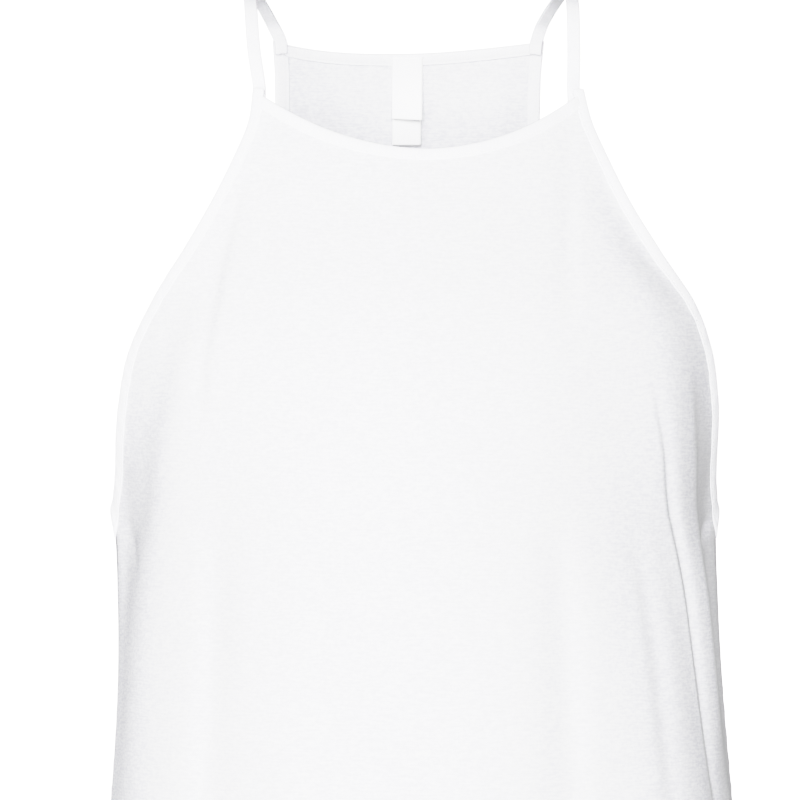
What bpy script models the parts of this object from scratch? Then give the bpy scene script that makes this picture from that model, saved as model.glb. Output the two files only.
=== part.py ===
"""A high neck tank top in light jersey, filled out and hollow.

Metres, +Z up. The front of the garment faces -Y, and left is -X, as seen from the front. The
origin lies midway between the straps, level with their tops, where the garment is held.

Every panel is one smooth surface: a stack of level sections, each a curve from the centre line
to the panel's edge, with the folds pushed in and out along the surface's normal. The wall, the
bindings, the straps' ends and the labels are all made from points of that surface.
"""
import math
from collections import namedtuple
from functools import lru_cache

import bmesh
import bpy
from mathutils import Vector

# ---------------------------------------------------------------- driving sizes
WALL = 0.0012  # the jersey's wall
HEM_WALL = 0.0022  # two layers, where the hem is turned up
HEM_HEIGHT = 0.020
GAP = 0.0003  # between pieces at a seam
CURVED_GAP = 0.0005  # between a panel and its binding, whose facets differ
BINDING_WIDTH = 0.0065
BINDING_HALF_THICKNESS = 0.0011
STRAP_WIDTH = 0.0070
STRAP_HALF_THICKNESS = 0.0010

HEM = -0.660  # heights, measured down from the tops of the straps
UNDERARM = -0.2896
FRONT_CORNER = -0.0600
BACK_CORNER = -0.0260
FRONT_NECK_DIP = 0.0332  # centre of the neckline below its corners
BACK_NECK_DIP = 0.0065
FRONT_NECK_ROUNDNESS = 1.8  # exponent: 2 is a parabola
BACK_NECK_ROUNDNESS = 2.15
FRONT_NECK_SKEW = 0.010  # how far to the right of the centre the lowest point lies
BACK_NECK_SKEW = -0.20
DIPPED_FROM = -0.255  # the rows of the mesh are level below this height
QUARTER_GIRTH = 0.22  # turns a share of a panel's half width into metres

NECK_LABEL_WIDTH = 0.0176
CARE_LABEL_WIDTH = 0.0166
LABEL_TOP = -0.0396
NECK_LABEL_END = -0.0678
CARE_LABEL_END = -0.0830
LABEL_THICKNESS = 0.0010
NECK_LABEL_LIFT = 0.0040  # how much further its free end stands off the cloth than its top
CARE_LABEL_LIFT = 0.0014

FRONT, BACK = -1, 1

# How finely the meshes are cut.
COLUMNS = 32
ROWS_BELOW_UNDERARM = 12
ROWS_ABOVE_UNDERARM = 16
NECK_STATIONS = {FRONT: 29, BACK: 21}
ARMHOLE_STATIONS = {FRONT: 26, BACK: 28}
STRAP_STATIONS = 34
LABEL_ROWS = 9
LABEL_COLUMNS = 5
SHARP_ANGLE = 50  # degrees

DIP_GROWTH = 1.4  # exponent: how fast the rows take on the neckline's dip
TOP_ROW_AT = 0.92  # the share of the way to the edge where the top row's height is taken
HEM_STEP = 0.001  # half the height over which the hem's two layers become one
EDGE_FADE = 8  # exponent: the folds die out towards a panel's edges
EDGE_PROBE = 0.96  # the share across a panel from which the direction of its edge is read
LEAN_ABOVE = 0.004  # the armhole's lean is read this far above the underarm, where it is steady
LINE_START = 0.0006  # how far below the corner an armhole binding's inner line begins
CORNER_RISE = 0.001  # how far above the front's corner a strap leaves the cloth
ACROSS_PROBE = 0.02  # the share across a panel over which a strap's direction is read

# One level section of a panel. The form that fills the garment is form_x wide to each side of
# lean and centre_y deep, and turn is how far a curve from its centre to its side turns, in
# degrees. The panel ends edge_x from the centre: at the armhole, or below it at the side seam.
Section = namedtuple("Section", "height form_x edge_x centre_y turn lean")
SECTIONS = {
    FRONT: (
        Section(-0.0600, 0.1710, 0.0896, -0.064, 38, 0.0000),
        Section(-0.0770, 0.1775, 0.0928, -0.069, 41, 0.0008),
        Section(-0.0930, 0.1820, 0.0993, -0.075, 44, 0.0010),
        Section(-0.1200, 0.1870, 0.1129, -0.085, 50, 0.0012),
        Section(-0.1470, 0.1885, 0.1294, -0.097, 55, 0.0022),
        Section(-0.1740, 0.1902, 0.1476, -0.109, 59, 0.0033),
        Section(-0.2010, 0.1888, 0.1598, -0.118, 62, 0.0020),
        Section(-0.2280, 0.1827, 0.1646, -0.124, 65, 0.0010),
        Section(-0.2550, 0.1751, 0.1662, -0.126, 69, 0.0003),
        Section(-0.2896, 0.1658, 0.1658, -0.126, 74, 0.0006),
        Section(-0.3380, 0.1648, 0.1648, -0.124, 82, 0.0022),
        Section(-0.3930, 0.1665, 0.1665, -0.123, 88, 0.0036),
        Section(-0.4600, 0.1715, 0.1715, -0.125, 90, 0.0042),
        Section(-0.5600, 0.1780, 0.1780, -0.131, 90, 0.0030),
        Section(-0.6600, 0.1860, 0.1860, -0.137, 90, 0.0030),
    ),
    BACK: (
        Section(-0.0260, 0.1900, 0.0765, 0.083, 60, 0.0000),
        Section(-0.0500, 0.1900, 0.0750, 0.091, 60, 0.0000),
        Section(-0.0850, 0.1900, 0.0760, 0.099, 61, 0.0000),
        Section(-0.1200, 0.1900, 0.0830, 0.103, 62, 0.0000),
        Section(-0.1600, 0.1900, 0.0990, 0.105, 64, 0.0000),
        Section(-0.2000, 0.1880, 0.1230, 0.105, 66, 0.0000),
        Section(-0.2400, 0.1800, 0.1480, 0.105, 69, 0.0000),
        Section(-0.2680, 0.1715, 0.1610, 0.104, 72, 0.0000),
        Section(-0.2896, 0.1658, 0.1658, 0.103, 74, 0.0006),
        Section(-0.3380, 0.1648, 0.1648, 0.100, 82, 0.0022),
        Section(-0.3930, 0.1665, 0.1665, 0.101, 88, 0.0036),
        Section(-0.4600, 0.1715, 0.1715, 0.105, 90, 0.0042),
        Section(-0.5600, 0.1780, 0.1780, 0.114, 90, 0.0030),
        Section(-0.6600, 0.1860, 0.1860, 0.123, 90, 0.0030),
    ),
}

# One fold. top and bottom are heights, start and end its place across the form there (-1 left
# side, 1 right side). half_width and depth are in metres, and a negative depth is a trough.
# A flute keeps growing down to the hem, a crease fades at both ends.
Fold = namedtuple("Fold", "name form top bottom start end half_width depth")
FOLDS = {
    FRONT: (
        Fold("right armhole valley", "crease", -0.080, -0.360, 0.47, 0.95, 0.018, -0.0022),
        Fold("right side crease", "crease", -0.225, -0.520, 0.62, 0.80, 0.014, -0.0016),
        Fold("turn by the right arm", "crease", -0.140, -0.430, 0.55, 0.88, 0.029, 0.0062),
        Fold("left armhole valley", "crease", -0.090, -0.350, -0.44, -0.94, 0.016, -0.0036),
        Fold("turn by the left arm", "crease", -0.130, -0.440, -0.56, -0.84, 0.030, 0.0045),
        Fold("flute far left", "flute", -0.330, -0.640, -0.76, -0.72, 0.024, 0.0036),
        Fold("flute left dip", "flute", -0.310, -0.640, -0.44, -0.50, 0.022, -0.0080),
        Fold("flute left", "flute", -0.320, -0.640, -0.26, -0.28, 0.018, 0.0050),
        Fold("flute centre dip", "flute", -0.300, -0.640, -0.14, -0.10, 0.020, -0.0050),
        Fold("flute centre", "flute", -0.330, -0.640, 0.06, 0.12, 0.026, 0.0050),
        Fold("flute right dip", "flute", -0.290, -0.640, 0.36, 0.36, 0.026, -0.0050),
        Fold("flute right", "flute", -0.340, -0.640, 0.56, 0.56, 0.026, 0.0025),
        Fold("flute far right", "flute", -0.360, -0.640, 0.90, 0.90, 0.018, 0.0050),
    ),
    BACK: (
        Fold("left armhole valley", "crease", -0.070, -0.330, -0.28, -0.92, 0.014, -0.0030),
        Fold("right armhole valley", "crease", -0.060, -0.340, 0.27, 0.93, 0.015, -0.0034),
        Fold("waist dip", "crease", -0.230, -0.420, -0.10, 0.04, 0.034, -0.0045),
        Fold("flute far left", "flute", -0.300, -0.640, -0.84, -0.80, 0.018, 0.0050),
        Fold("flute left dip", "flute", -0.320, -0.640, -0.56, -0.60, 0.020, -0.0070),
        Fold("flute left", "flute", -0.280, -0.640, -0.34, -0.36, 0.022, 0.0060),
        Fold("flute centre dip", "flute", -0.340, -0.640, -0.08, -0.12, 0.022, -0.0075),
        Fold("flute centre", "flute", -0.300, -0.640, 0.14, 0.13, 0.022, 0.0060),
        Fold("flute right dip", "flute", -0.330, -0.640, 0.40, 0.38, 0.020, -0.0080),
        Fold("flute right", "flute", -0.310, -0.640, 0.60, 0.64, 0.018, 0.0055),
        Fold("flute far right dip", "flute", -0.350, -0.640, 0.84, 0.86, 0.016, -0.0040),
    ),
}

# A strap's way over the shoulder, between its two ends on the panels: the same for both straps
# but for how far out it lies.
Rest = namedtuple("Rest", "y height left_x right_x")
STRAP_OVER_SHOULDER = (
    Rest(-0.0400, -0.0380, -0.0890, 0.0848),
    Rest(-0.0240, -0.0130, -0.0905, 0.0854),
    Rest(0.0080, -0.0010, -0.0905, 0.0856),
    Rest(0.0420, -0.0050, -0.0850, 0.0818),
    Rest(0.0640, -0.0165, -0.0772, 0.0752),
)
STRAP_FRONT_X = {-1: 0.0870, 1: 0.0849}  # where it comes out of the front's corner
STRAP_BACK_INSET = 0.0040  # its centre line from the back panel's edge
STRAP_FRONT_TUCK = 0.0110  # length hidden behind the front's corner
STRAP_BACK_TUCK = 0.0060
STRAP_CLEARANCE = 0.0027  # its centre line from the middle of the cloth, where it is tucked in

# Outlines of the strips: share of the width from the outer edge inwards, share of the half
# thickness.
BINDING_OUTLINE = ((0, -0.45), (0, 0.45), (0.12, 1), (0.90, 1), (1, 0.6), (1, -0.6), (0.90, -1), (0.12, -1))
STRAP_OUTLINE = ((0, -0.4), (0, 0.4), (0.14, 1), (0.86, 1), (1, 0.4), (1, -0.4), (0.86, -1), (0.14, -1))

JERSEY = "#F4F4F6"
RIB = "#F7F7F9"
LABEL = "#FBFBFB"


# ---------------------------------------------------------------- the panels' surface
def smooth_between(knots, values, at):
    """A smooth curve through the values at the knots, which fall from the first to the last."""
    at = min(max(at, knots[-1]), knots[0])
    i = next(k for k in range(len(knots) - 1) if at >= knots[k + 1])
    slopes = []
    for k in (i, i + 1):
        a, b = max(k - 1, 0), min(k + 1, len(knots) - 1)
        slopes.append((values[b] - values[a]) / (knots[b] - knots[a]))
    span = knots[i + 1] - knots[i]
    t = (at - knots[i]) / span
    return (
        (2 * t**3 - 3 * t**2 + 1) * values[i]
        + (t**3 - 2 * t**2 + t) * span * slopes[0]
        + (3 * t**2 - 2 * t**3) * values[i + 1]
        + (t**3 - t**2) * span * slopes[1]
    )


@lru_cache(maxsize=None)
def section_at(panel, height):
    rows = SECTIONS[panel]
    heights = [row.height for row in rows]
    columns = list(zip(*rows))[1:]
    return Section(height, *(smooth_between(heights, column, height) for column in columns))


def reach(panel, height):
    """The panel's edge, as a share of the way round the form from its centre to its side."""
    if height <= UNDERARM:
        return 1
    row = section_at(panel, height)
    turn = math.radians(row.turn)
    return min(1, math.asin(min(1, row.edge_x * math.sin(turn) / row.form_x)) / turn)


def plain_point(panel, s, height):
    """The surface with no folds. s runs from -1 at the left edge to 1 at the right edge."""
    row = section_at(panel, height)
    turn = math.radians(row.turn)
    angle = s * reach(panel, height) * turn
    x = row.lean + row.form_x * math.sin(angle) / math.sin(turn)
    y = row.centre_y * (math.cos(angle) - math.cos(turn)) / (1 - math.cos(turn))
    return Vector((x, y, height))


def ease(t):
    t = min(max(t, 0), 1)
    return t * t * (3 - 2 * t)


def fold_offset(panel, s, height):
    total = 0
    across = s * reach(panel, height)
    for fold in FOLDS[panel]:
        t = (fold.top - height) / (fold.top - fold.bottom)
        if t <= 0 or (t >= 1 and fold.form == "crease"):
            continue
        centre = fold.start + (fold.end - fold.start) * min(t, 1)
        away = (across - centre) * QUARTER_GIRTH / fold.half_width
        strength = ease(t) if fold.form == "flute" else math.sin(math.pi * t)
        total += fold.depth * strength * math.exp(-away * away)
    return total * (1 - s**EDGE_FADE)


def outward(panel, along_s, up):
    return (along_s.cross(up) * -panel).normalized()


def surface(panel, s, height):
    step = 0.004
    along_s = plain_point(panel, s + step, height) - plain_point(panel, s - step, height)
    up = plain_point(panel, s, height + step) - plain_point(panel, s, height - step)
    normal = outward(panel, along_s, up)
    return plain_point(panel, s, height) + normal * fold_offset(panel, s, height)


def surface_normal(panel, s, height):
    s_step, height_step = 0.010, 0.003
    s = min(max(s, s_step - 1), 1 - s_step)
    along_s = surface(panel, s + s_step, height) - surface(panel, s - s_step, height)
    up = surface(panel, s, height + height_step) - surface(panel, s, height - height_step)
    return outward(panel, along_s, up)


@lru_cache(maxsize=None)
def half_length(panel, height, steps=12):
    """The length of one half of a level section, centre to edge."""
    points = [plain_point(panel, i / steps, height) for i in range(steps + 1)]
    return sum((b - a).length for a, b in zip(points, points[1:]))


# ---------------------------------------------------------------- the panels' edges
def corner_of(panel):
    return FRONT_CORNER if panel == FRONT else BACK_CORNER


def neck_height(panel, s):
    """The neckline: highest at the corners, lowest near the centre."""
    if panel == FRONT:
        dip, skew, roundness = FRONT_NECK_DIP, FRONT_NECK_SKEW, FRONT_NECK_ROUNDNESS
    else:
        dip, skew, roundness = BACK_NECK_DIP, BACK_NECK_SKEW, BACK_NECK_ROUNDNESS
    across = s - skew * (1 - s * s)
    return corner_of(panel) - dip * (1 - abs(across) ** roundness)


def neck_drop(panel, s, depth):
    """How much lower a line runs that lies depth inside the neckline."""
    step = 0.02
    width = half_length(panel, neck_height(panel, s))
    slope = (neck_height(panel, s + step) - neck_height(panel, s - step)) / (2 * step * width)
    return depth * math.sqrt(1 + slope * slope)


def armhole_lean(panel, height):
    """The armhole edge's sideways run for each metre that it climbs."""
    step = 0.002
    edge = plain_point(panel, 1, height + step) - plain_point(panel, 1, height - step)
    inside = plain_point(panel, EDGE_PROBE, height) - plain_point(panel, 1, height)
    return edge.dot(inside.normalized()) / (2 * step)


def seam_drop(panel, depth):
    """How far below the underarm a line meets the side seam that lies depth inside the edge."""
    lean = abs(armhole_lean(panel, UNDERARM + LEAN_ABOVE))
    return depth * math.sqrt(1 + lean * lean) / lean


def share_inside(panel, height, depth):
    """The place across the panel of a line that lies depth inside the armhole edge."""
    above = max(height, UNDERARM + LEAN_ABOVE)
    lean = armhole_lean(panel, above)
    inset = depth * math.sqrt(1 + lean * lean)
    if height < UNDERARM:
        inset *= max(0, 1 - (UNDERARM - height) / seam_drop(panel, depth))
    return 1 - max(inset, GAP / 2) / half_length(panel, height)


# ---------------------------------------------------------------- meshes
def linear(hex_colour):
    """A colour written as on a screen, in the numbers that a shader takes."""
    parts = [int(hex_colour[i : i + 2], 16) / 255 for i in (1, 3, 5)]
    return [c / 12.92 if c <= 0.04045 else ((c + 0.055) / 1.055) ** 2.4 for c in parts] + [1]


def make_object(name, build, colour, roughness):
    """An object whose mesh is filled in by build, with a material of its own."""
    bm = bmesh.new()
    build(bm)
    bmesh.ops.recalc_face_normals(bm, faces=bm.faces)
    mesh = bpy.data.meshes.new(name)
    bm.to_mesh(mesh)
    bm.free()
    mesh.shade_smooth()
    mesh.set_sharp_from_angle(angle=math.radians(SHARP_ANGLE))
    material = bpy.data.materials.new(name)
    material.use_nodes = True
    shader = material.node_tree.nodes["Principled BSDF"]
    shader.inputs["Base Color"].default_value = linear(colour)
    shader.inputs["Roughness"].default_value = roughness
    shader.inputs["Metallic"].default_value = 0
    mesh.materials.append(material)
    made = bpy.data.objects.new(name, mesh)
    bpy.context.scene.collection.objects.link(made)
    return made


def make_wall(name, outer, inner, colour, roughness=0.9):
    """A closed wall between two grids of points: outer[row][column] and inner[row][column]."""

    def build(bm):
        sides = [[[bm.verts.new(p) for p in row] for row in grid] for grid in (outer, inner)]
        rows, columns = len(outer), len(outer[0])
        for side in sides:
            for r in range(rows - 1):
                for c in range(columns - 1):
                    bm.faces.new((side[r][c], side[r][c + 1], side[r + 1][c + 1], side[r + 1][c]))
        rim = [(0, c) for c in range(columns)] + [(r, columns - 1) for r in range(1, rows)]
        rim += [(rows - 1, c) for c in range(columns - 2, -1, -1)]
        rim += [(r, 0) for r in range(rows - 2, 0, -1)]
        for (r1, c1), (r2, c2) in zip(rim, rim[1:] + rim[:1]):
            bm.faces.new((sides[0][r1][c1], sides[0][r2][c2], sides[1][r2][c2], sides[1][r1][c1]))

    return make_object(name, build, colour, roughness)


def make_strip(name, rings, colour, roughness=0.85):
    """A closed strip through rings of points, capped at both ends."""

    def build(bm):
        loops = [[bm.verts.new(p) for p in ring] for ring in rings]
        for a, b in zip(loops, loops[1:]):
            for i in range(len(a)):
                j = (i + 1) % len(a)
                bm.faces.new((a[i], a[j], b[j], b[i]))
        bm.faces.new(loops[0])
        bm.faces.new(loops[-1][::-1])

    return make_object(name, build, colour, roughness)


def ring_between(outer, inner, normal, half_thickness, outline):
    """One ring of a strip that lies between an outer and an inner point."""
    return [outer.lerp(inner, share) + normal * (half_thickness * up) for share, up in outline]


def spread(count):
    return [i / (count - 1) for i in range(count)]


# ---------------------------------------------------------------- the pieces
def row_heights(panel):
    """The heights of a panel's rows at its side edge, from the hem up."""
    inside = BINDING_WIDTH + CURVED_GAP
    top = corner_of(panel) - neck_drop(panel, TOP_ROW_AT, inside)
    meets_seam = UNDERARM - seam_drop(panel, inside)
    fold_line = HEM + HEM_HEIGHT
    heights = [HEM, fold_line - HEM_STEP, fold_line + HEM_STEP]
    heights += [fold_line + (meets_seam - fold_line) * t for t in spread(ROWS_BELOW_UNDERARM)[1:]]
    heights += [(meets_seam + UNDERARM) / 2, UNDERARM]
    heights += [UNDERARM + (top - UNDERARM) * t for t in spread(ROWS_ABOVE_UNDERARM)[1:]]
    return heights


def make_body(name, panel):
    inside = BINDING_WIDTH + CURVED_GAP
    heights = row_heights(panel)
    top = heights[-1]
    outer, inner = [], []
    for level in heights:
        rise = max(0, (level - DIPPED_FROM) / (top - DIPPED_FROM)) ** DIP_GROWTH
        half_wall = (HEM_WALL if level < HEM + HEM_HEIGHT else WALL) / 2
        outer.append([])
        inner.append([])
        for column in range(COLUMNS + 1):
            across = 2 * column / COLUMNS - 1
            guess = across * share_inside(panel, level, inside)
            below_neck = neck_height(panel, guess) - neck_drop(panel, guess, inside)
            height = level + (below_neck - top) * rise
            s = across * share_inside(panel, height, inside)
            normal = surface_normal(panel, s, height)
            if abs(across) == 1 and height < UNDERARM:
                normal = Vector((normal.x, 0, normal.z)).normalized()
            middle = surface(panel, s, height)
            outer[-1].append(middle + normal * half_wall)
            inner[-1].append(middle - normal * half_wall)
    return make_wall(name, outer, inner, JERSEY)


def make_neck_binding(name, panel):
    rings = []
    for t in spread(NECK_STATIONS[panel]):
        across = 2 * t - 1
        ends = []
        for depth in (0, BINDING_WIDTH):
            s = across
            for _ in range(3):
                height = neck_height(panel, s) - neck_drop(panel, s, depth)
                s = across * share_inside(panel, height, BINDING_WIDTH + CURVED_GAP)
            ends.append((s, height))
        middle = [sum(pair) / 2 for pair in zip(*ends)]
        normal = surface_normal(panel, *middle)
        points = [surface(panel, *end) for end in ends]
        rings.append(ring_between(*points, normal, BINDING_HALF_THICKNESS, BINDING_OUTLINE))
    return make_strip(name, rings, RIB)


def make_armhole_binding(name, panel, side):
    """side is -1 on the left and 1 on the right. It runs from the corner down to the seam."""
    top = corner_of(panel)
    inner_end = UNDERARM - seam_drop(panel, BINDING_WIDTH)
    rings = []
    for t in spread(ARMHOLE_STATIONS[panel]):
        edge_height = top + (UNDERARM - top) * t
        line_height = top - LINE_START + (inner_end - top + LINE_START) * t
        s_edge = side * (1 - GAP / 2 / half_length(panel, edge_height))
        s_line = side * share_inside(panel, line_height, BINDING_WIDTH)
        normal = surface_normal(panel, (s_edge + s_line) / 2, (edge_height + line_height) / 2)
        if t == 1:
            normal = Vector((normal.x, 0, normal.z)).normalized()
        points = surface(panel, s_edge, edge_height), surface(panel, s_line, line_height)
        rings.append(ring_between(*points, normal, BINDING_HALF_THICKNESS, BINDING_OUTLINE))
    return make_strip(name, rings, RIB)


def share_at(panel, x, height):
    """The place across the panel that lies at this x."""
    row = section_at(panel, height)
    turn = math.radians(row.turn)
    angle = math.asin((x - row.lean) / row.form_x * math.sin(turn))
    return angle / turn / reach(panel, height)


def tucked_mark(panel, s, height):
    """A point of a strap's centre line behind the cloth, and the direction across it."""
    ahead = surface(panel, s + ACROSS_PROBE, height)
    across = ahead - surface(panel, s - ACROSS_PROBE, height)
    behind = surface(panel, s, height) - surface_normal(panel, s, height) * STRAP_CLEARANCE
    return behind, across.normalized()


def strap_line(side):
    """Points along a strap's centre line, with the direction across it at each."""
    corner = FRONT_CORNER + CORNER_RISE
    marks = []
    for height in (corner - STRAP_FRONT_TUCK, corner - STRAP_FRONT_TUCK / 2, corner):
        s = share_at(FRONT, side * STRAP_FRONT_X[side], height)
        marks.append(tucked_mark(FRONT, s, height))
    for rest in STRAP_OVER_SHOULDER:
        x = rest.left_x if side < 0 else rest.right_x
        marks.append((Vector((x, rest.y, rest.height)), Vector((1, 0, 0))))
    for height in (BACK_CORNER, BACK_CORNER - STRAP_BACK_TUCK / 2, BACK_CORNER - STRAP_BACK_TUCK):
        s = side * (1 - STRAP_BACK_INSET / half_length(BACK, height))
        marks.append(tucked_mark(BACK, s, height))
    lengths = [0]
    for (a, _), (b, _) in zip(marks, marks[1:]):
        lengths.append(lengths[-1] - (b - a).length)
    found = []
    for t in spread(STRAP_STATIONS):
        at = lengths[-1] * t
        columns = zip(*(tuple(point) + tuple(across) for point, across in marks))
        values = [smooth_between(lengths, column, at) for column in columns]
        found.append((Vector(values[:3]), Vector(values[3:]).normalized()))
    return found


def make_strap(name, side):
    line = strap_line(side)
    rings = []
    for i, (point, across) in enumerate(line):
        ahead = line[min(i + 1, STRAP_STATIONS - 1)][0] - line[max(i - 1, 0)][0]
        normal = across.cross(ahead).normalized()
        half = normal.cross(ahead).normalized() * (STRAP_WIDTH / 2)
        ends = point - half, point + half
        rings.append(ring_between(*ends, normal, STRAP_HALF_THICKNESS, STRAP_OUTLINE))
    return make_strip(name, rings, RIB)


def make_label(name, width, end, lift, clearance):
    """A label that hangs inside the back panel. clearance is from the middle of the cloth to
    the middle of the label, and lift is how much further its free end stands off."""
    grids = [], []
    for down in spread(LABEL_ROWS):
        height = LABEL_TOP + (end - LABEL_TOP) * down
        stand_off = clearance + lift * down**2
        for grid, side in zip(grids, (-1, 1)):
            row = []
            for t in spread(LABEL_COLUMNS):
                s = share_at(BACK, (t - 0.5) * width, height)
                depth = stand_off - side * LABEL_THICKNESS / 2
                row.append(surface(BACK, s, height) - surface_normal(BACK, s, height) * depth)
            grid.append(row)
    return make_wall(name, grids[1], grids[0], LABEL, 0.6)


def clear_scene():
    for old in list(bpy.data.objects):
        bpy.data.objects.remove(old, do_unlink=True)


def main():
    clear_scene()
    make_body("front_body", FRONT)
    make_body("back_body", BACK)
    make_neck_binding("front_neck_binding", FRONT)
    make_neck_binding("back_neck_binding", BACK)
    for word, side in (("left", -1), ("right", 1)):
        make_armhole_binding(f"{word}_front_armhole_binding", FRONT, side)
        make_armhole_binding(f"{word}_back_armhole_binding", BACK, side)
        make_strap(f"{word}_strap", side)
    against_cloth = WALL / 2 + GAP + LABEL_THICKNESS / 2
    over_label = against_cloth + LABEL_THICKNESS + GAP
    make_label("care_label", CARE_LABEL_WIDTH, CARE_LABEL_END, CARE_LABEL_LIFT, against_cloth)
    make_label("neck_label", NECK_LABEL_WIDTH, NECK_LABEL_END, NECK_LABEL_LIFT, over_label)


main()
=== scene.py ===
# %% [markdown]
# # A high neck tank top, filled out and hollow
# A white tank top in thin jersey, shown filled out and hollow, with nothing inside. The solids
# of the model already have its true shape. This lesson dresses them: each solid is replaced by a
# finer piece on the same surface, with its creases, its bindings and its stitches, and each
# finish gets a material made of nodes. Left is -X, as seen from the front, and the front faces -Y.

# %% Load the frame
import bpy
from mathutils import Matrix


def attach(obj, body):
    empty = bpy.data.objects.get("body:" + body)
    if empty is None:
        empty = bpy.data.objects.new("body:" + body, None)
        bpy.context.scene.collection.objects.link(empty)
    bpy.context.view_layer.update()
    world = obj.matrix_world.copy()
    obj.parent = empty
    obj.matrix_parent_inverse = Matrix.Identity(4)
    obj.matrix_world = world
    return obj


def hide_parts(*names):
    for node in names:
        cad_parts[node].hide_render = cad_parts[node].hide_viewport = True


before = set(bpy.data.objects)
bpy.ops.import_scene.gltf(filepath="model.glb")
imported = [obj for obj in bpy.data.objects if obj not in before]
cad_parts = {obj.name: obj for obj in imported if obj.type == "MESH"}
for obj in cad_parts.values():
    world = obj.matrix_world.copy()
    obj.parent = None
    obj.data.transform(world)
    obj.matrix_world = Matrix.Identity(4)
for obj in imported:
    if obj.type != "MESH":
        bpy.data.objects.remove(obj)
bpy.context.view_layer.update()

import math
from collections import namedtuple
from functools import partial

import bmesh
import bpy
import numpy as np
from mathutils import Vector

nodes_found = sorted(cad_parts)
print("nodes:", ", ".join(nodes_found))

# %% [markdown]
# ## The camera
# The photograph is a level view of the upper part, cropped above the hem. It was taken from far
# away with a long lens, a little to the left of the middle: the inside of the back shows slightly
# to the left of the neckline. A camera 3 m away with a long lens gives that flat perspective, and
# one number, the width of cloth that fills the picture, sets the lens.

# %% Place the camera
PICTURE_WIDTH = 0.44  # metres of cloth across the picture, at the middle of the garment
CAMERA_DISTANCE = 3.0
CAMERA_TURN = math.radians(2.5)  # towards the left
CAMERA_HEIGHT = -0.228
CAMERA_ASIDE = 0.0080  # the garment stands this far right of the picture's centre
SENSOR = 36.0
CLIP_END = 60.0  # well beyond the backdrop


def put(name, data):
    """A new object with this data, linked to the scene."""
    made = bpy.data.objects.new(name, data)
    bpy.context.scene.collection.objects.link(made)
    return made


towards = Vector((math.sin(CAMERA_TURN), math.cos(CAMERA_TURN), 0))
rightwards = Vector((math.cos(CAMERA_TURN), -math.sin(CAMERA_TURN), 0))
camera_data = bpy.data.cameras.new("camera")
camera_data.sensor_width = SENSOR
camera_data.lens = SENSOR * CAMERA_DISTANCE / PICTURE_WIDTH
camera_data.clip_end = CLIP_END
camera = put("camera", camera_data)
camera.location = -CAMERA_DISTANCE * towards - CAMERA_ASIDE * rightwards
camera.location.z = CAMERA_HEIGHT
camera.rotation_euler = (math.pi / 2, 0, -CAMERA_TURN)
bpy.context.scene.camera = camera
print("lens", round(camera_data.lens, 1), "mm")

# %% [markdown]
# ## Nodes in one line each
# Every material and every Geometry Nodes tree below is built by the same small function: it adds
# a node, sets its properties, and fills or links its inputs. Colours are written as on a screen,
# and one function turns them into the linear numbers that a shader takes.


# %% Helpers for nodes and colours
def add_node(tree, kind, inputs=None, **settings):
    """A new node. inputs gives its sockets a value, or the node or socket that feeds them."""
    node = tree.nodes.new(kind)
    for name, value in settings.items():
        setattr(node, name, value)
    for socket, value in (inputs or {}).items():
        if isinstance(value, bpy.types.Node):
            value = value.outputs[0]
        if isinstance(value, bpy.types.NodeSocket):
            tree.links.new(value, node.inputs[socket])
        else:
            node.inputs[socket].default_value = value
    return node


def linear(hex_colour):
    """The linear colour, with its alpha, of one written as on a screen: the sRGB curve."""
    parts = [int(hex_colour[i : i + 2], 16) / 255 for i in (1, 3, 5)]
    return [c / 12.92 if c <= 0.04045 else ((c + 0.055) / 1.055) ** 2.4 for c in parts] + [1]


def new_material(name, values):
    """A material, its shader with these values, and a function that adds a node to it."""
    material = bpy.data.materials.new(name)
    material.use_nodes = True
    shader = material.node_tree.nodes["Principled BSDF"]
    for socket, value in values.items():
        shader.inputs[socket].default_value = value
    return material, shader, partial(add_node, material.node_tree)


WHITE = linear("#FFFFFF")
print("white is", WHITE)

# %% [markdown]
# ## The studio
# The photograph has a pure white ground and very soft light: a wide lamp a little above the camera,
# and pale surroundings that fill in the rest, so that only the right side, turned away from the
# lamps, goes grey. Here a pale world is the surroundings, a large area light is the lamp, two
# weaker ones light the left edge and the inside of the back, and a bright sheet far behind the
# garment gives the white ground.

# %% Light, floor and backdrop
FLOOR_HEIGHT, FLOOR_RADIUS, FLOOR_SIDES = -1.25, 6.2, 64
BACKDROP_AT, BACKDROP_HALF, BACKDROP_GLOW = 6.6, 1.2, 1.2
SQUARE = ((-1, -1), (1, -1), (1, 1), (-1, 1))
PAINT_ROUGHNESS = 0.9
WORLD_LEVEL = 0.16
LAMP_AIM = (0, 0, -0.3)
Lamp = namedtuple("Lamp", "name around distance height width tall power")
LAMPS = (  # around is in degrees from the camera's side, to the right
    Lamp("wide lamp in front", -3, 3.4, 0.40, 2.2, 2.4, 91),
    Lamp("lamp on the left", -60, 3.4, 0.30, 1.1, 2.6, 16),
    Lamp("lamp behind", -165, 3.6, 0.80, 2.0, 2.0, 56),
)


def stage_sheet(name, corners, finish, colour, glow=0.0):
    """A flat sheet that belongs to the studio and not to the garment."""
    mesh = bpy.data.meshes.new(name)
    mesh.from_pydata(corners, [], [range(len(corners))])
    values = {"Base Color": linear(colour), "Roughness": PAINT_ROUGHNESS}
    values.update({"Emission Color": WHITE, "Emission Strength": glow})
    mesh.materials.append(new_material(finish, values)[0])
    put(name, mesh)


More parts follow.
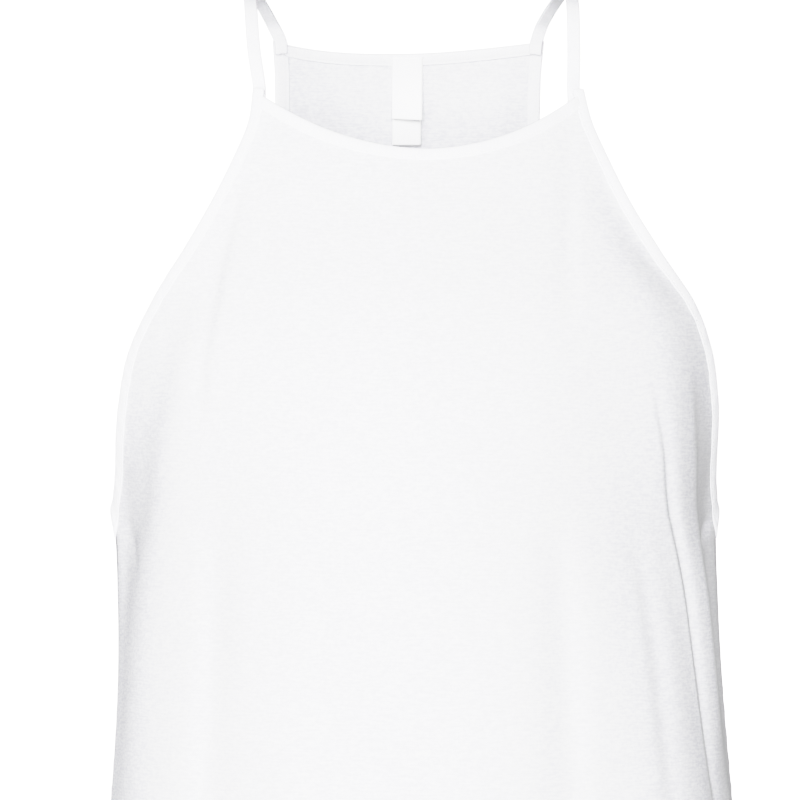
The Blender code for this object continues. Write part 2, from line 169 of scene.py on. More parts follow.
ring = [i * math.tau / FLOOR_SIDES for i in range(FLOOR_SIDES)]
disc = [(FLOOR_RADIUS * math.cos(a), FLOOR_RADIUS * math.sin(a), FLOOR_HEIGHT) for a in ring]
stage_sheet("floor", disc, "painted floor", "#D8D8D8")
square = [(BACKDROP_HALF * x, BACKDROP_AT, CAMERA_HEIGHT + BACKDROP_HALF * z) for x, z in SQUARE]
stage_sheet("backdrop", square, "lit backdrop paper", "#FFFFFF", BACKDROP_GLOW)
for lamp in LAMPS:
    data = bpy.data.lights.new(lamp.name, "AREA")
    data.shape, data.size, data.size_y, data.energy = "RECTANGLE", lamp.width, lamp.tall, lamp.power
    light = put(lamp.name, data)
    turn = math.radians(lamp.around)
    light.location = (lamp.distance * math.sin(turn), -lamp.distance * math.cos(turn), lamp.height)
    light.rotation_euler = (Vector(LAMP_AIM) - light.location).to_track_quat("-Z", "Y").to_euler()
    light.visible_camera = False

world = bpy.data.worlds.new("studio")
world.use_nodes = True
background = world.node_tree.nodes["Background"]
background.inputs["Color"].default_value = WHITE
background.inputs["Strength"].default_value = WORLD_LEVEL
bpy.context.scene.world = world
print("floor at", FLOOR_HEIGHT, "m, well below the hem;", len(LAMPS), "lamps")

# %% [markdown]
# ## The exposure
# The photograph is exposed so that white cloth nearly clips. A curve over the finished picture
# does the same here: greys are lifted, the whites of the cloth are pressed together, and what is
# brighter still goes white. It leaves the materials at the colours that they really have.

# %% Press the whites together
BRIGHTEST = 2.0
BLUE, ALL_COLOURS = 2, 3  # these curves' places in Blender's list
WHITES = (
    (0.20, 0.40), (0.31, 0.54), (0.40, 0.65), (0.46, 0.745), (0.51, 0.80), (0.57, 0.85), (0.63, 0.888),
    (0.70, 0.911), (0.78, 0.928), (0.86, 0.944), (0.96, 0.960), (1.08, 0.978), (1.25, 1.0),
)
COOL_WHITES = ((0.70, 0.702), (0.93, 0.942))  # the blue of the whites, lifted a little
settings = bpy.context.scene.view_settings
settings.view_transform = "Standard"
settings.use_curve_mapping = True
mapping = settings.curve_mapping
mapping.clip_max_x = mapping.clip_max_y = BRIGHTEST
mapping.curves[ALL_COLOURS].points[1].location = (BRIGHTEST, 1.0)
for curve, points in ((ALL_COLOURS, WHITES), (BLUE, COOL_WHITES)):
    for point in points:
        mapping.curves[curve].points.new(*point)
mapping.update()
print(len(WHITES), "points on the curve")

# %% [markdown]
# ## The shape of the cloth
# The real top is two flat pieces of jersey, sewn together and filled out. The model gives that
# shape as a stack of level sections, each a curve from the centre front or back to the panel's
# edge. Here the same short tables are read again, because a finer mesh needs the surface itself
# and not the facets of the solid. All points of a piece are worked out at once, as arrays.

# %% The sections
FRONT, BACK = -1, 1
HEM, UNDERARM = -0.660, -0.2896
CORNER = {FRONT: -0.0600, BACK: -0.0260}
Neckline = namedtuple("Neckline", "dip roundness skew")
NECKLINE = {FRONT: Neckline(0.0332, 1.8, 0.010), BACK: Neckline(0.0065, 2.15, -0.20)}
DIPPED_FROM = -0.255  # above this height the rows of the mesh bend down towards the neckline
QUARTER_GIRTH = 0.22  # turns a place across a panel, from -1 to 1, into metres

Section = namedtuple("Section", "height form_x edge_x centre_y turn lean")
SECTIONS = {
    FRONT: (
        Section(-0.0600, 0.1710, 0.0896, -0.064, 38, 0.0000),
        Section(-0.0770, 0.1775, 0.0928, -0.069, 41, 0.0008),
        Section(-0.0930, 0.1820, 0.0993, -0.075, 44, 0.0010),
        Section(-0.1200, 0.1870, 0.1129, -0.085, 50, 0.0012),
        Section(-0.1470, 0.1885, 0.1294, -0.097, 55, 0.0022),
        Section(-0.1740, 0.1902, 0.1476, -0.109, 59, 0.0033),
        Section(-0.2010, 0.1888, 0.1598, -0.118, 62, 0.0020),
        Section(-0.2280, 0.1827, 0.1646, -0.124, 65, 0.0010),
        Section(-0.2550, 0.1751, 0.1662, -0.126, 69, 0.0003),
        Section(-0.2896, 0.1658, 0.1658, -0.126, 74, 0.0006),
        Section(-0.3380, 0.1648, 0.1648, -0.124, 82, 0.0022),
        Section(-0.3930, 0.1665, 0.1665, -0.123, 88, 0.0036),
        Section(-0.4600, 0.1715, 0.1715, -0.125, 90, 0.0042),
        Section(-0.5600, 0.1780, 0.1780, -0.131, 90, 0.0030),
        Section(-0.6600, 0.1860, 0.1860, -0.137, 90, 0.0030),
    ),
    BACK: (
        Section(-0.0260, 0.1900, 0.0765, 0.083, 60, 0.0000),
        Section(-0.0500, 0.1900, 0.0750, 0.091, 60, 0.0000),
        Section(-0.0850, 0.1900, 0.0760, 0.099, 61, 0.0000),
        Section(-0.1200, 0.1900, 0.0830, 0.103, 62, 0.0000),
        Section(-0.1600, 0.1900, 0.0990, 0.105, 64, 0.0000),
        Section(-0.2000, 0.1880, 0.1230, 0.105, 66, 0.0000),
        Section(-0.2400, 0.1800, 0.1480, 0.105, 69, 0.0000),
        Section(-0.2680, 0.1715, 0.1610, 0.104, 72, 0.0000),
        Section(-0.2896, 0.1658, 0.1658, 0.103, 74, 0.0006),
        Section(-0.3380, 0.1648, 0.1648, 0.100, 82, 0.0022),
        Section(-0.3930, 0.1665, 0.1665, 0.101, 88, 0.0036),
        Section(-0.4600, 0.1715, 0.1715, 0.105, 90, 0.0042),
        Section(-0.5600, 0.1780, 0.1780, 0.114, 90, 0.0030),
        Section(-0.6600, 0.1860, 0.1860, 0.123, 90, 0.0030),
    ),
}

print("sections:", {panel: len(rows) for panel, rows in SECTIONS.items()})

# %% [markdown]
# ## The large folds
# The cloth hangs from two narrow straps, so it falls into valleys beside the armholes and into
# flutes towards the hem. Each is given by where it runs, how wide and how deep it is. They are in
# the solids too, because they show in the outline.

# %% The large folds
# top and bottom are heights, and start and end the places across the panel there, as shares of
# the way from the centre to the side: -1 is the left side and 1 the right side.
# half_width and depth are in metres, and a negative depth is a trough. A flute keeps growing down
# to the hem, a crease fades at both ends.
Fold = namedtuple("Fold", "name form top bottom start end half_width depth")
FOLDS = {
    FRONT: (
        Fold("right armhole valley", "crease", -0.080, -0.360, 0.47, 0.95, 0.018, -0.0022),
        Fold("right side crease", "crease", -0.225, -0.520, 0.62, 0.80, 0.014, -0.0016),
        Fold("turn by the right arm", "crease", -0.140, -0.430, 0.55, 0.88, 0.029, 0.0062),
        Fold("left armhole valley", "crease", -0.090, -0.350, -0.44, -0.94, 0.016, -0.0036),
        Fold("turn by the left arm", "crease", -0.130, -0.440, -0.56, -0.84, 0.030, 0.0045),
        Fold("flute far left", "flute", -0.330, -0.640, -0.76, -0.72, 0.024, 0.0036),
        Fold("flute left dip", "flute", -0.310, -0.640, -0.44, -0.50, 0.022, -0.0080),
        Fold("flute left", "flute", -0.320, -0.640, -0.26, -0.28, 0.018, 0.0050),
        Fold("flute centre dip", "flute", -0.300, -0.640, -0.14, -0.10, 0.020, -0.0050),
        Fold("flute centre", "flute", -0.330, -0.640, 0.06, 0.12, 0.026, 0.0050),
        Fold("flute right dip", "flute", -0.290, -0.640, 0.36, 0.36, 0.026, -0.0050),
        Fold("flute right", "flute", -0.340, -0.640, 0.56, 0.56, 0.026, 0.0025),
        Fold("flute far right", "flute", -0.360, -0.640, 0.90, 0.90, 0.018, 0.0050),
    ),
    BACK: (
        Fold("left armhole valley", "crease", -0.070, -0.330, -0.28, -0.92, 0.014, -0.0030),
        Fold("right armhole valley", "crease", -0.060, -0.340, 0.27, 0.93, 0.015, -0.0034),
        Fold("waist dip", "crease", -0.230, -0.420, -0.10, 0.04, 0.034, -0.0045),
        Fold("flute far left", "flute", -0.300, -0.640, -0.84, -0.80, 0.018, 0.0050),
        Fold("flute left dip", "flute", -0.320, -0.640, -0.56, -0.60, 0.020, -0.0070),
        Fold("flute left", "flute", -0.280, -0.640, -0.34, -0.36, 0.022, 0.0060),
        Fold("flute centre dip", "flute", -0.340, -0.640, -0.08, -0.12, 0.022, -0.0075),
        Fold("flute centre", "flute", -0.300, -0.640, 0.14, 0.13, 0.022, 0.0060),
        Fold("flute right dip", "flute", -0.330, -0.640, 0.40, 0.38, 0.020, -0.0080),
        Fold("flute right", "flute", -0.310, -0.640, 0.60, 0.64, 0.018, 0.0055),
        Fold("flute far right dip", "flute", -0.350, -0.640, 0.84, 0.86, 0.016, -0.0040),
    ),
}

for folds in FOLDS.values():
    print("folds:", ", ".join(fold.name for fold in folds))

# %% [markdown]
# ## The creases of the photograph
# White cloth shows its shape only in faint greys, so the creases are what makes it cloth. Each
# is placed along a short path, as a soft trough or ridge with its own width on either side: a
# crease that the cloth falls into steeply on one side and climbs out of slowly on the other
# looks folded, where an even one looks pressed. The back and the sides get similar ones.

# %% The finer creases
# path: places across the panel and heights, from the top down. left and right are the widths on
# either side of the path, and depth is outwards, all in metres.
Crease = namedtuple("Crease", "name left right depth path")
CREASES = {
    FRONT: (
        Crease("beside the right armhole", 0.014, 0.008, -0.003, (
            (0.44, -0.095), (0.515, -0.122), (0.588, -0.147), (0.672, -0.168), (0.732, -0.185),
            (0.788, -0.206), (0.838, -0.232),
        )),
        Crease("under the right arm", 0.016, 0.011, -0.0036, (
            (0.705, -0.185), (0.755, -0.206), (0.807, -0.228), (0.857, -0.25), (0.905, -0.272),
            (0.93, -0.294), (0.905, -0.33), (0.905, -0.37), (0.925, -0.41), (0.95, -0.48),
        )),
        Crease("thin crease on the right", 0.0022, 0.005, -0.0018, (
            (0.555, -0.214), (0.585, -0.232), (0.615, -0.248), (0.642, -0.266), (0.668, -0.285),
            (0.694, -0.308), (0.71, -0.338), (0.72, -0.368), (0.728, -0.395), (0.738, -0.425),
            (0.758, -0.47),
        )),
        Crease("edge of the hollow under the right arm", 0.007, 0.0045, 0.0014, (
            (0.68, -0.212), (0.718, -0.236), (0.765, -0.265), (0.795, -0.293), (0.805, -0.33),
            (0.815, -0.37), (0.825, -0.42),
        )),
        Crease("lower right", 0.006, 0.008, -0.0014, (
            (0.53, -0.292), (0.552, -0.32), (0.558, -0.357), (0.553, -0.41), (0.558, -0.48),
        )),
        Crease("right of the middle", 0.013, 0.008, -0.0034, (
            (0.33, -0.285), (0.318, -0.334), (0.3, -0.4), (0.292, -0.49),
        )),
        Crease("left of the middle", 0.008, 0.013, -0.003, (
            (-0.255, -0.3), (-0.24, -0.345), (-0.23, -0.41), (-0.235, -0.49),
        )),
        Crease("lower left", 0.008, 0.014, -0.0036, (
            (-0.545, -0.285), (-0.53, -0.335), (-0.515, -0.4), (-0.51, -0.49),
        )),
        Crease("beside the left armhole", 0.0075, 0.004, -0.0019, (
            (-0.455, -0.098), (-0.495, -0.13), (-0.52, -0.16), (-0.535, -0.196), (-0.55, -0.225),
            (-0.56, -0.25),
        )),
        Crease("under the left arm", 0.012, 0.018, -0.0036, (
            (-0.64, -0.165), (-0.735, -0.196), (-0.8, -0.228), (-0.85, -0.25), (-0.905, -0.272),
            (-0.935, -0.3), (-0.93, -0.33), (-0.92, -0.36),
        )),
        Crease("down the left side", 0.009, 0.016, -0.001, (
            (-0.95, -0.29), (-0.945, -0.325), (-0.925, -0.36), (-0.91, -0.4), (-0.9, -0.47),
        )),
        Crease("from the left corner", 0.006, 0.007, -0.001, (
            (-0.425, -0.085), (-0.412, -0.108), (-0.392, -0.137), (-0.38, -0.165),
        )),
        Crease("from the right corner", 0.007, 0.006, -0.001, (
            (0.435, -0.072), (0.395, -0.102), (0.36, -0.135), (0.336, -0.169), (0.325, -0.2),
        )),
        Crease("pulled from the right underarm", 0.004, 0.003, -0.003, (
            (0.985, -0.291), (0.94, -0.297), (0.88, -0.308), (0.82, -0.322),
        )),
        Crease("pulled from the left underarm", 0.004, 0.006, -0.001, (
            (-0.985, -0.291), (-0.93, -0.299), (-0.87, -0.313), (-0.82, -0.33),
        )),
    ),
    BACK: (
        Crease("beside the left armhole", 0.005, 0.009, -0.0029, (
            (-0.33, -0.07), (-0.34, -0.11), (-0.4, -0.16), (-0.54, -0.21), (-0.72, -0.25),
        )),
        Crease("beside the right armhole", 0.009, 0.005, -0.0031, (
            (0.33, -0.065), (0.345, -0.115), (0.41, -0.165), (0.55, -0.212), (0.74, -0.252),
        )),
        Crease("under the left arm", 0.008, 0.015, -0.0075, (
            (-0.69, -0.215), (-0.8, -0.245), (-0.87, -0.275), (-0.88, -0.31), (-0.85, -0.35),
            (-0.83, -0.4), (-0.84, -0.46),
        )),
        Crease("under the right arm", 0.014, 0.008, -0.006, (
            (0.72, -0.222), (0.82, -0.25), (0.86, -0.282), (0.85, -0.315), (0.81, -0.35), (0.77, -0.39),
        )),
        Crease("thin crease on the left", 0.006, 0.0025, -0.0023, (
            (-0.6, -0.25), (-0.655, -0.285), (-0.68, -0.325), (-0.69, -0.37), (-0.715, -0.43),
            (-0.74, -0.48),
        )),
        Crease("towards the waist, left", 0.01, 0.007, -0.0026, (
            (-0.48, -0.27), (-0.38, -0.32), (-0.27, -0.35), (-0.16, -0.365),
        )),
        Crease("towards the waist, right", 0.007, 0.01, -0.0028, (
            (0.56, -0.262), (0.45, -0.31), (0.33, -0.345), (0.2, -0.362),
        )),
        Crease("lower right", 0.012, 0.008, -0.0034, (
            (0.52, -0.33), (0.53, -0.38), (0.515, -0.44), (0.5, -0.52),
        )),
        Crease("lower left", 0.008, 0.012, -0.003, (
            (-0.47, -0.345), (-0.455, -0.4), (-0.44, -0.46), (-0.445, -0.54),
        )),
        Crease("pulled from the right underarm", 0.004, 0.003, -0.0026, (
            (0.985, -0.291), (0.94, -0.299), (0.88, -0.312), (0.83, -0.33),
        )),
        Crease("pulled from the left underarm", 0.003, 0.004, -0.0028, (
            (-0.985, -0.291), (-0.94, -0.297), (-0.88, -0.308), (-0.83, -0.32),
        )),
    ),
}

for creases in CREASES.values():
    print("creases:", ", ".join(crease.name for crease in creases))

# %% [markdown]
# ## From the tables to points
# These few functions turn a place on a panel, its share of the way across and its height, into a
# point in space. Everything that is sewn to a panel asks the same functions for its points, so
# that it lies on the cloth whatever the folds do.


# %% The surface of a panel
def smooth_between(knots, values, at):
    """A smooth curve through the values at the knots, which fall from the first to the last."""
    knots, values = np.array(knots, float), np.array(values, float)
    last = len(knots) - 1
    before, after = np.maximum(np.arange(last + 1) - 1, 0), np.minimum(np.arange(last + 1) + 1, last)
    slopes = (values[after] - values[before]) / (knots[after] - knots[before])
    at = np.clip(at, knots[-1], knots[0])
    i = np.searchsorted(-knots[1:-1], -at)
    span = knots[i + 1] - knots[i]
    t = (at - knots[i]) / span
    return (
        (2 * t**3 - 3 * t**2 + 1) * values[i]
        + (t**3 - 2 * t**2 + t) * span * slopes[i]
        + (3 * t**2 - 2 * t**3) * values[i + 1]
        + (t**3 - t**2) * span * slopes[i + 1]
    )


def section_at(panel, height):
    heights, *columns = zip(*SECTIONS[panel])
    return Section(height, *(smooth_between(heights, column, height) for column in columns))


def reach(panel, height):
    """The panel's edge, as a share of the way round the form from its centre to its side."""
    row = section_at(panel, height)
    turn = np.radians(row.turn)
    share = np.arcsin(np.minimum(1, row.edge_x * np.sin(turn) / row.form_x)) / turn
    return np.where(height <= UNDERARM, 1, np.minimum(1, share))


def plain_point(panel, s, height):
    """The surface with no folds. s runs from -1 at the left edge to 1 at the right edge."""
    s, height = np.broadcast_arrays(np.asarray(s, float), np.asarray(height, float))
    row = section_at(panel, height)
    turn = np.radians(row.turn)
    angle = s * reach(panel, height) * turn
    x = row.lean + row.form_x * np.sin(angle) / np.sin(turn)
    y = row.centre_y * (np.cos(angle) - np.cos(turn)) / (1 - np.cos(turn))
    return np.stack((x, y, height), axis=-1)


def ease(t):
    t = np.clip(t, 0, 1)
    return t * t * (3 - 2 * t)


underarm = section_at(FRONT, UNDERARM)
print("width at the underarm:", round(2 * float(underarm.edge_x), 3), "m")

# %% [markdown]
# ## Folds, creases and waves
# Each fold of the real cloth is the same cloth moved in or out, so here each is a distance along
# the cloth's outward direction, and all of them are added up. Very shallow waves from a fixed
# seed come on top, because cloth that hangs is never quite even. All of it fades at the side
# seams, so that front and back still meet.

# %% How far the folds move the cloth
PATH_STEPS = 5  # points on a crease's smooth path for each place in its table
FELT_WITHIN = 3  # a crease is felt this many widths from its path
CREASE_FADE = 0.8  # below 1, a crease keeps its depth for longer before it fades
WAVES, WAVE_SEED = 26, 7
WAVE_LENGTH, WAVE_SPREAD = 0.060, 0.030  # so they are 30 to 90 mm long
WAVE_TURN = 1.1  # radians that a wave's run is turned out of level, at most
WAVE_STRETCH = 0.6  # below 1, waves are longer up the cloth than across it
WAVE_DEPTH = 0.0026  # of their length, shared out between them
PANEL_SHIFT = 0.37  # gives the back other waves than the front
FOLDS_FADE, CREASES_FADE = 8, 24  # powers of the place across: a higher one fades later
FREE_ABOVE = 0.020  # how far above the underarm a panel's edge is free of the other panel's
wave_numbers = np.random.default_rng(WAVE_SEED).uniform(-1, 1, (WAVES, 3))


def crease_offset(crease, across, height):
    """How far a crease moves the cloth out, at these places."""
    path = np.array(crease.path) * (QUARTER_GIRTH, 1)
    lengths = np.r_[0, np.cumsum(np.linalg.norm(np.diff(path, axis=0), axis=1))]
    fine = np.linspace(0, lengths[-1], PATH_STEPS * len(path))
    path = np.stack([smooth_between(-lengths, path[:, k], -fine) for k in (0, 1)], axis=-1)
    place = np.stack(np.broadcast_arrays(across * QUARTER_GIRTH, height), axis=-1)
    beyond = FELT_WITHIN * max(crease.left, crease.right)
    close = ((place > path.min(axis=0) - beyond) & (place < path.max(axis=0) + beyond)).all(axis=-1)
    near = place[close]
    nearest = np.full(len(near), np.inf)
    along, aside = np.zeros_like(nearest), np.zeros_like(nearest)
    for i, (a, b) in enumerate(zip(path, path[1:])):
        step = b - a
        t = np.clip(((near - a) @ step) / (step @ step), 0, 1)
        away = near - a - t[:, None] * step
        distance = np.linalg.norm(away, axis=-1)
        closer = distance < nearest
        nearest = np.where(closer, distance, nearest)
        along = np.where(closer, (i + t) / (len(path) - 1), along)
        aside = np.where(closer, away[:, 1] * step[0] - away[:, 0] * step[1], aside)
    width = np.where(aside > 0, crease.right, crease.left)
    offset = np.zeros(place.shape[:-1])
    depth = crease.depth * np.sin(np.pi * along) ** CREASE_FADE
    offset[close] = depth * np.exp(-((nearest / width) ** 2))
    return offset


def gentle_waves(panel, across, height):
    """The slight unevenness of cloth that hangs."""
    total = 0
    for a, b, phase in wave_numbers:
        length = WAVE_LENGTH + WAVE_SPREAD * a
        turn = WAVE_TURN * b
        run = across * QUARTER_GIRTH * math.cos(turn) + height * math.sin(turn) * WAVE_STRETCH
        total = total + length * np.sin(math.tau * (run / length + phase + PANEL_SHIFT * panel))
    return total * WAVE_DEPTH / math.sqrt(WAVES)


def fold_offset(panel, s, height):
    """How far all of them together move the cloth out."""
    across = s * reach(panel, height)
    total = gentle_waves(panel, across, height)
    for fold in FOLDS[panel]:
        t = (fold.top - height) / (fold.top - fold.bottom)
        centre = fold.start + (fold.end - fold.start) * np.minimum(t, 1)
        away = (across - centre) * QUARTER_GIRTH / fold.half_width
        strength = ease(t) if fold.form == "flute" else np.sin(np.pi * np.clip(t, 0, 1))
        total = total + fold.depth * strength * np.exp(-away * away)
    total = total * (1 - s**FOLDS_FADE)
    at_side = s**CREASES_FADE * ease((UNDERARM + FREE_ABOVE - height) / FREE_ABOVE)
    for crease in CREASES[panel]:
        total = total + crease_offset(crease, across, height) * (1 - at_side)
    return total


print(WAVES, "waves and", sum(map(len, CREASES.values())), "creases")

# %% [markdown]
# ## Places, directions and edges
# A sewn piece lies a fixed distance inside an edge, measured on the cloth and not level or
# upright, so the slope of the neckline and of the armhole comes in. The cloth's outward direction
# is measured on the folded surface, by small steps across and up.

# %% Points, outward directions and lines beside the edges
PLAIN_STEP = 0.004  # for the slope of the plain form: a share of the width, and metres
FOLD_STEP, FOLD_RISE = 0.01, 0.003  # for the slope of the folded cloth
NECK_STEP, ARM_STEP = 0.02, 0.002  # for the slope of an edge
JUST_INSIDE = 0.96  # a place across that tells which way is inwards
LEAN_ABOVE = 0.004  # the armhole's slope at the underarm is taken this far above it
GIRTH_STEPS = 12


def unit(vectors):
    return vectors / np.linalg.norm(vectors, axis=-1, keepdims=True)


def outward(panel, along_s, up):
    return unit(np.cross(along_s, up) * -panel)


def surface(panel, s, height):
    """The folded surface, at places across from -1 to 1 and heights."""
    along_s = plain_point(panel, s + PLAIN_STEP, height) - plain_point(panel, s - PLAIN_STEP, height)
    up = plain_point(panel, s, height + PLAIN_STEP) - plain_point(panel, s, height - PLAIN_STEP)
    offset = fold_offset(panel, s, height)[..., None]
    return plain_point(panel, s, height) + outward(panel, along_s, up) * offset


def surface_normal(panel, s, height):
    s = np.clip(s, FOLD_STEP - 1, 1 - FOLD_STEP)
    along_s = surface(panel, s + FOLD_STEP, height) - surface(panel, s - FOLD_STEP, height)
    up = surface(panel, s, height + FOLD_RISE) - surface(panel, s, height - FOLD_RISE)
    return outward(panel, along_s, up)


def half_length(panel, height):
    """The length of one half of a level section, centre to edge."""
    points = [plain_point(panel, i / GIRTH_STEPS, height) for i in range(GIRTH_STEPS + 1)]
    return sum(np.linalg.norm(b - a, axis=-1) for a, b in zip(points, points[1:]))


def neck_height(panel, s):
    """The neckline: highest at the corners, lowest near the centre."""
    line = NECKLINE[panel]
    across = s - line.skew * (1 - s * s)
    return CORNER[panel] - line.dip * (1 - np.abs(across) ** line.roundness)


def neck_drop(panel, s, depth):
    """How much lower a line runs that lies depth inside the neckline."""
    rise = neck_height(panel, s + NECK_STEP) - neck_height(panel, s - NECK_STEP)
    slope = rise / (2 * NECK_STEP * half_length(panel, neck_height(panel, s)))
    return depth * np.sqrt(1 + slope * slope)


def armhole_lean(panel, height):
    """The armhole edge's sideways run for each metre that it climbs."""
    edge = plain_point(panel, 1, height + ARM_STEP) - plain_point(panel, 1, height - ARM_STEP)
    inside = unit(plain_point(panel, JUST_INSIDE, height) - plain_point(panel, 1, height))
    return (edge * inside).sum(axis=-1) / (2 * ARM_STEP)


def seam_drop(panel, depth):
    """How far below the underarm a line meets the side seam that lies depth inside the edge."""
    lean = abs(armhole_lean(panel, UNDERARM + LEAN_ABOVE))
    return depth * np.sqrt(1 + lean * lean) / lean


def share_inside(panel, height, depth, gap=0.0):
    """The place across the panel of a line that lies depth inside the armhole edge."""
    lean = armhole_lean(panel, np.maximum(height, UNDERARM + LEAN_ABOVE))
    inset = depth * np.sqrt(1 + lean * lean)
    below = np.clip(1 - (UNDERARM - height) / seam_drop(panel, depth), 0, 1) if depth else 0
    inset = np.where(height < UNDERARM, inset * below, inset)
    return 1 - np.maximum(inset, gap) / half_length(panel, height)


def at_seam(normal):
    """At the side seam the cloth's thickness lies level, so that front and back meet."""
    return unit(normal * (1, 0, 1))


print("front girth at the hem:", round(float(2 * half_length(FRONT, HEM)), 3), "m")

# %% [markdown]
# ## Slub jersey
# The cloth is a fine single jersey in a cool white. Its yarn is slightly uneven, so it has short
# level streaks where the yarn is thicker, and faint upright ribs, the wales of the knit. At 0.55
# mm to a pixel the true wales, 0.7 mm apart, would only flicker, so they are drawn twice as
# coarse and broken up. Cotton scatters light and lets a little through, which is why the
# material mixes a translucent part into a rough, matt one.

# %% Jersey and binding materials
MM = 1000.0  # the patterns' scales are in turns per metre, so MM / size in millimetres
Streaks = namedtuple("Streaks", "across_mm up_mm detail seed")
SLUB = Streaks(8, 1.0, 3, 0.0)  # the thick places of the yarn
WALES = Streaks(1.4, 9, 2, 3.1)
FLECK = Streaks(2.2, 1.6, 2, 7.7)  # breaks up the other two
TONE_SLUB, TONE_FLECK = 0.5, 0.5  # how much each counts in the tone
RELIEF_WALES, RELIEF_SLUB = 0.6, 0.7  # and in the relief
DARK_BELOW, LIGHT_ABOVE = 0.40, 0.60  # the noise at which the tone is at its darkest and lightest
MATT = {"Roughness": 0.95, "Specular IOR Level": 0.15, "Sheen Weight": 0.06, "Sheen Roughness": 0.6}


def streaks(node, place, pattern):
    """Noise stretched to the size of the pattern's streaks."""
    scale = (MM / pattern.across_mm, MM / pattern.up_mm, 1)
    start = (pattern.seed, pattern.seed, pattern.seed)
    moved = node("ShaderNodeMapping", {"Vector": place, "Scale": scale, "Location": start})
    noise = node("ShaderNodeTexNoise", {"Vector": moved, "Scale": 1.0, "Detail": pattern.detail})
    return noise.outputs["Fac"]


def weighted_sum(node, *pairs):
    """The first value times its weight, plus the second times its own."""
    products = {}
    for i, (value, weight) in enumerate(pairs):
        products[i] = node("ShaderNodeMath", {0: value, 1: weight}, operation="MULTIPLY")
    return node("ShaderNodeMath", products, operation="ADD")


def cloth_material(name, light, dark, relief_mm, see_through, along_u=False):
    """Jersey. along_u turns the knit by a quarter, for strips that are cut across the cloth."""
    material, shader, node = new_material(name, MATT)
    place = node("ShaderNodeUVMap", uv_map="UVMap")
    if along_u:
        quarter = {"Vector": place, "Angle": math.pi / 2}
        place = node("ShaderNodeVectorRotate", quarter, rotation_type="Z_AXIS")
    slub, wales, fleck = (streaks(node, place, pattern) for pattern in (SLUB, WALES, FLECK))
    mixed = weighted_sum(node, (slub, TONE_SLUB), (fleck, TONE_FLECK))
    tone = node("ShaderNodeMapRange", {0: mixed, 1: DARK_BELOW, 2: LIGHT_ABOVE})
    ends = {"Factor": tone, "A": linear(dark), "B": linear(light)}
    colour = node("ShaderNodeMix", ends, data_type="RGBA").outputs["Result"]
    relief = weighted_sum(node, (wales, RELIEF_WALES), (slub, RELIEF_SLUB))
    bump = node("ShaderNodeBump", {"Height": relief, "Distance": relief_mm / MM})
    through = node("ShaderNodeBsdfTranslucent", {"Color": colour})
    cloth = node("ShaderNodeMixShader", {0: see_through, 1: shader, 2: through})
    tree = material.node_tree
    tree.links.new(colour, shader.inputs["Base Color"])
    tree.links.new(bump.outputs[0], shader.inputs["Normal"])
    tree.links.new(cloth.outputs[0], tree.nodes["Material Output"].inputs["Surface"])
    return material


jersey = cloth_material("white slub jersey", "#F5F5F7", "#E8E8EC", relief_mm=0.10, see_through=0.12)
rib = cloth_material(
    "jersey cut for bindings", "#FAFAFC", "#F5F5F8", relief_mm=0.06, see_through=0.08, along_u=True
)
print("jersey and binding materials made")

# %% [markdown]
# ## Label tape and thread
# The labels are smooth white satin tape, brighter than the cloth. Its face is never quite flat,
# so it gets a very slight waviness. The thread is white polyester, a little shinier than cotton.

# %% Tape and thread materials
SMOOTH_SHINE = 0.3
WAVE_TEXTURE = 20 / math.tau  # the waves that Blender's wave texture has in one unit, at scale 1
WAVE_WANDER = 0.4


def smooth_material(name, colour, roughness, wave_mm=0.0, relief_mm=0.0):
    """Tape or thread. wave_mm is the distance from one wave of its face to the next."""
    values = {"Base Color": linear(colour), "Roughness": roughness, "Specular IOR Level": SMOOTH_SHINE}
    material, shader, node = new_material(name, values)
    if wave_mm:
        place = node("ShaderNodeUVMap", uv_map="UVMap")
        inputs = {"Vector": place, "Scale": MM / wave_mm / WAVE_TEXTURE, "Distortion": WAVE_WANDER}
        waves = node("ShaderNodeTexWave", inputs, bands_direction="Y").outputs["Fac"]
        bump = node("ShaderNodeBump", {"Height": waves, "Distance": relief_mm / MM})
        material.node_tree.links.new(bump.outputs[0], shader.inputs["Normal"])
    return material


tape = smooth_material("satin label tape", "#FDFDFD", 0.5, wave_mm=7.54, relief_mm=0.03)
thread = smooth_material("polyester sewing thread", "#F8F8FA", 0.6)
print("tape and thread materials made")

# %% [markdown]
# ## Meshes from grids of points
# A panel is a grid of points on its outer side and another on its inner side, joined round the
# rim, so that it is one closed sheet with a thickness. A binding is the same idea rolled up: rings
# of points, one after another, capped at both ends. Both carry a UV map in metres of cloth, which
# is what the knit pattern is measured in.


# %% Walls and tubes
SAME_POINT = 1e-6  # points closer than this are one
ROUND_OFF = ((0.35, 0.96), (0.7, 0.76), (0.95, 0.4))  # share of the radius ahead, of the ring's size


def new_piece(name, points, faces, places, material):
    """A mesh object with a UV map. places has one (u, v) for each point, in metres."""
    mesh = bpy.data.meshes.new(name)
    mesh.from_pydata(points.reshape(-1, 3).tolist(), [], faces)
    layer = mesh.uv_layers.new(name="UVMap")
    corners = np.empty(len(mesh.loops), np.int32)
    mesh.loops.foreach_get("vertex_index", corners)
    layer.data.foreach_set("uv", places.reshape(-1, 2)[corners].ravel())
    bm = bmesh.new()
    bm.from_mesh(mesh)
    bmesh.ops.remove_doubles(bm, verts=bm.verts, dist=SAME_POINT)
    bmesh.ops.recalc_face_normals(bm, faces=bm.faces)
    bm.to_mesh(mesh)
    bm.free()
    mesh.shade_smooth()
    mesh.materials.append(material)
    return put(name, mesh)


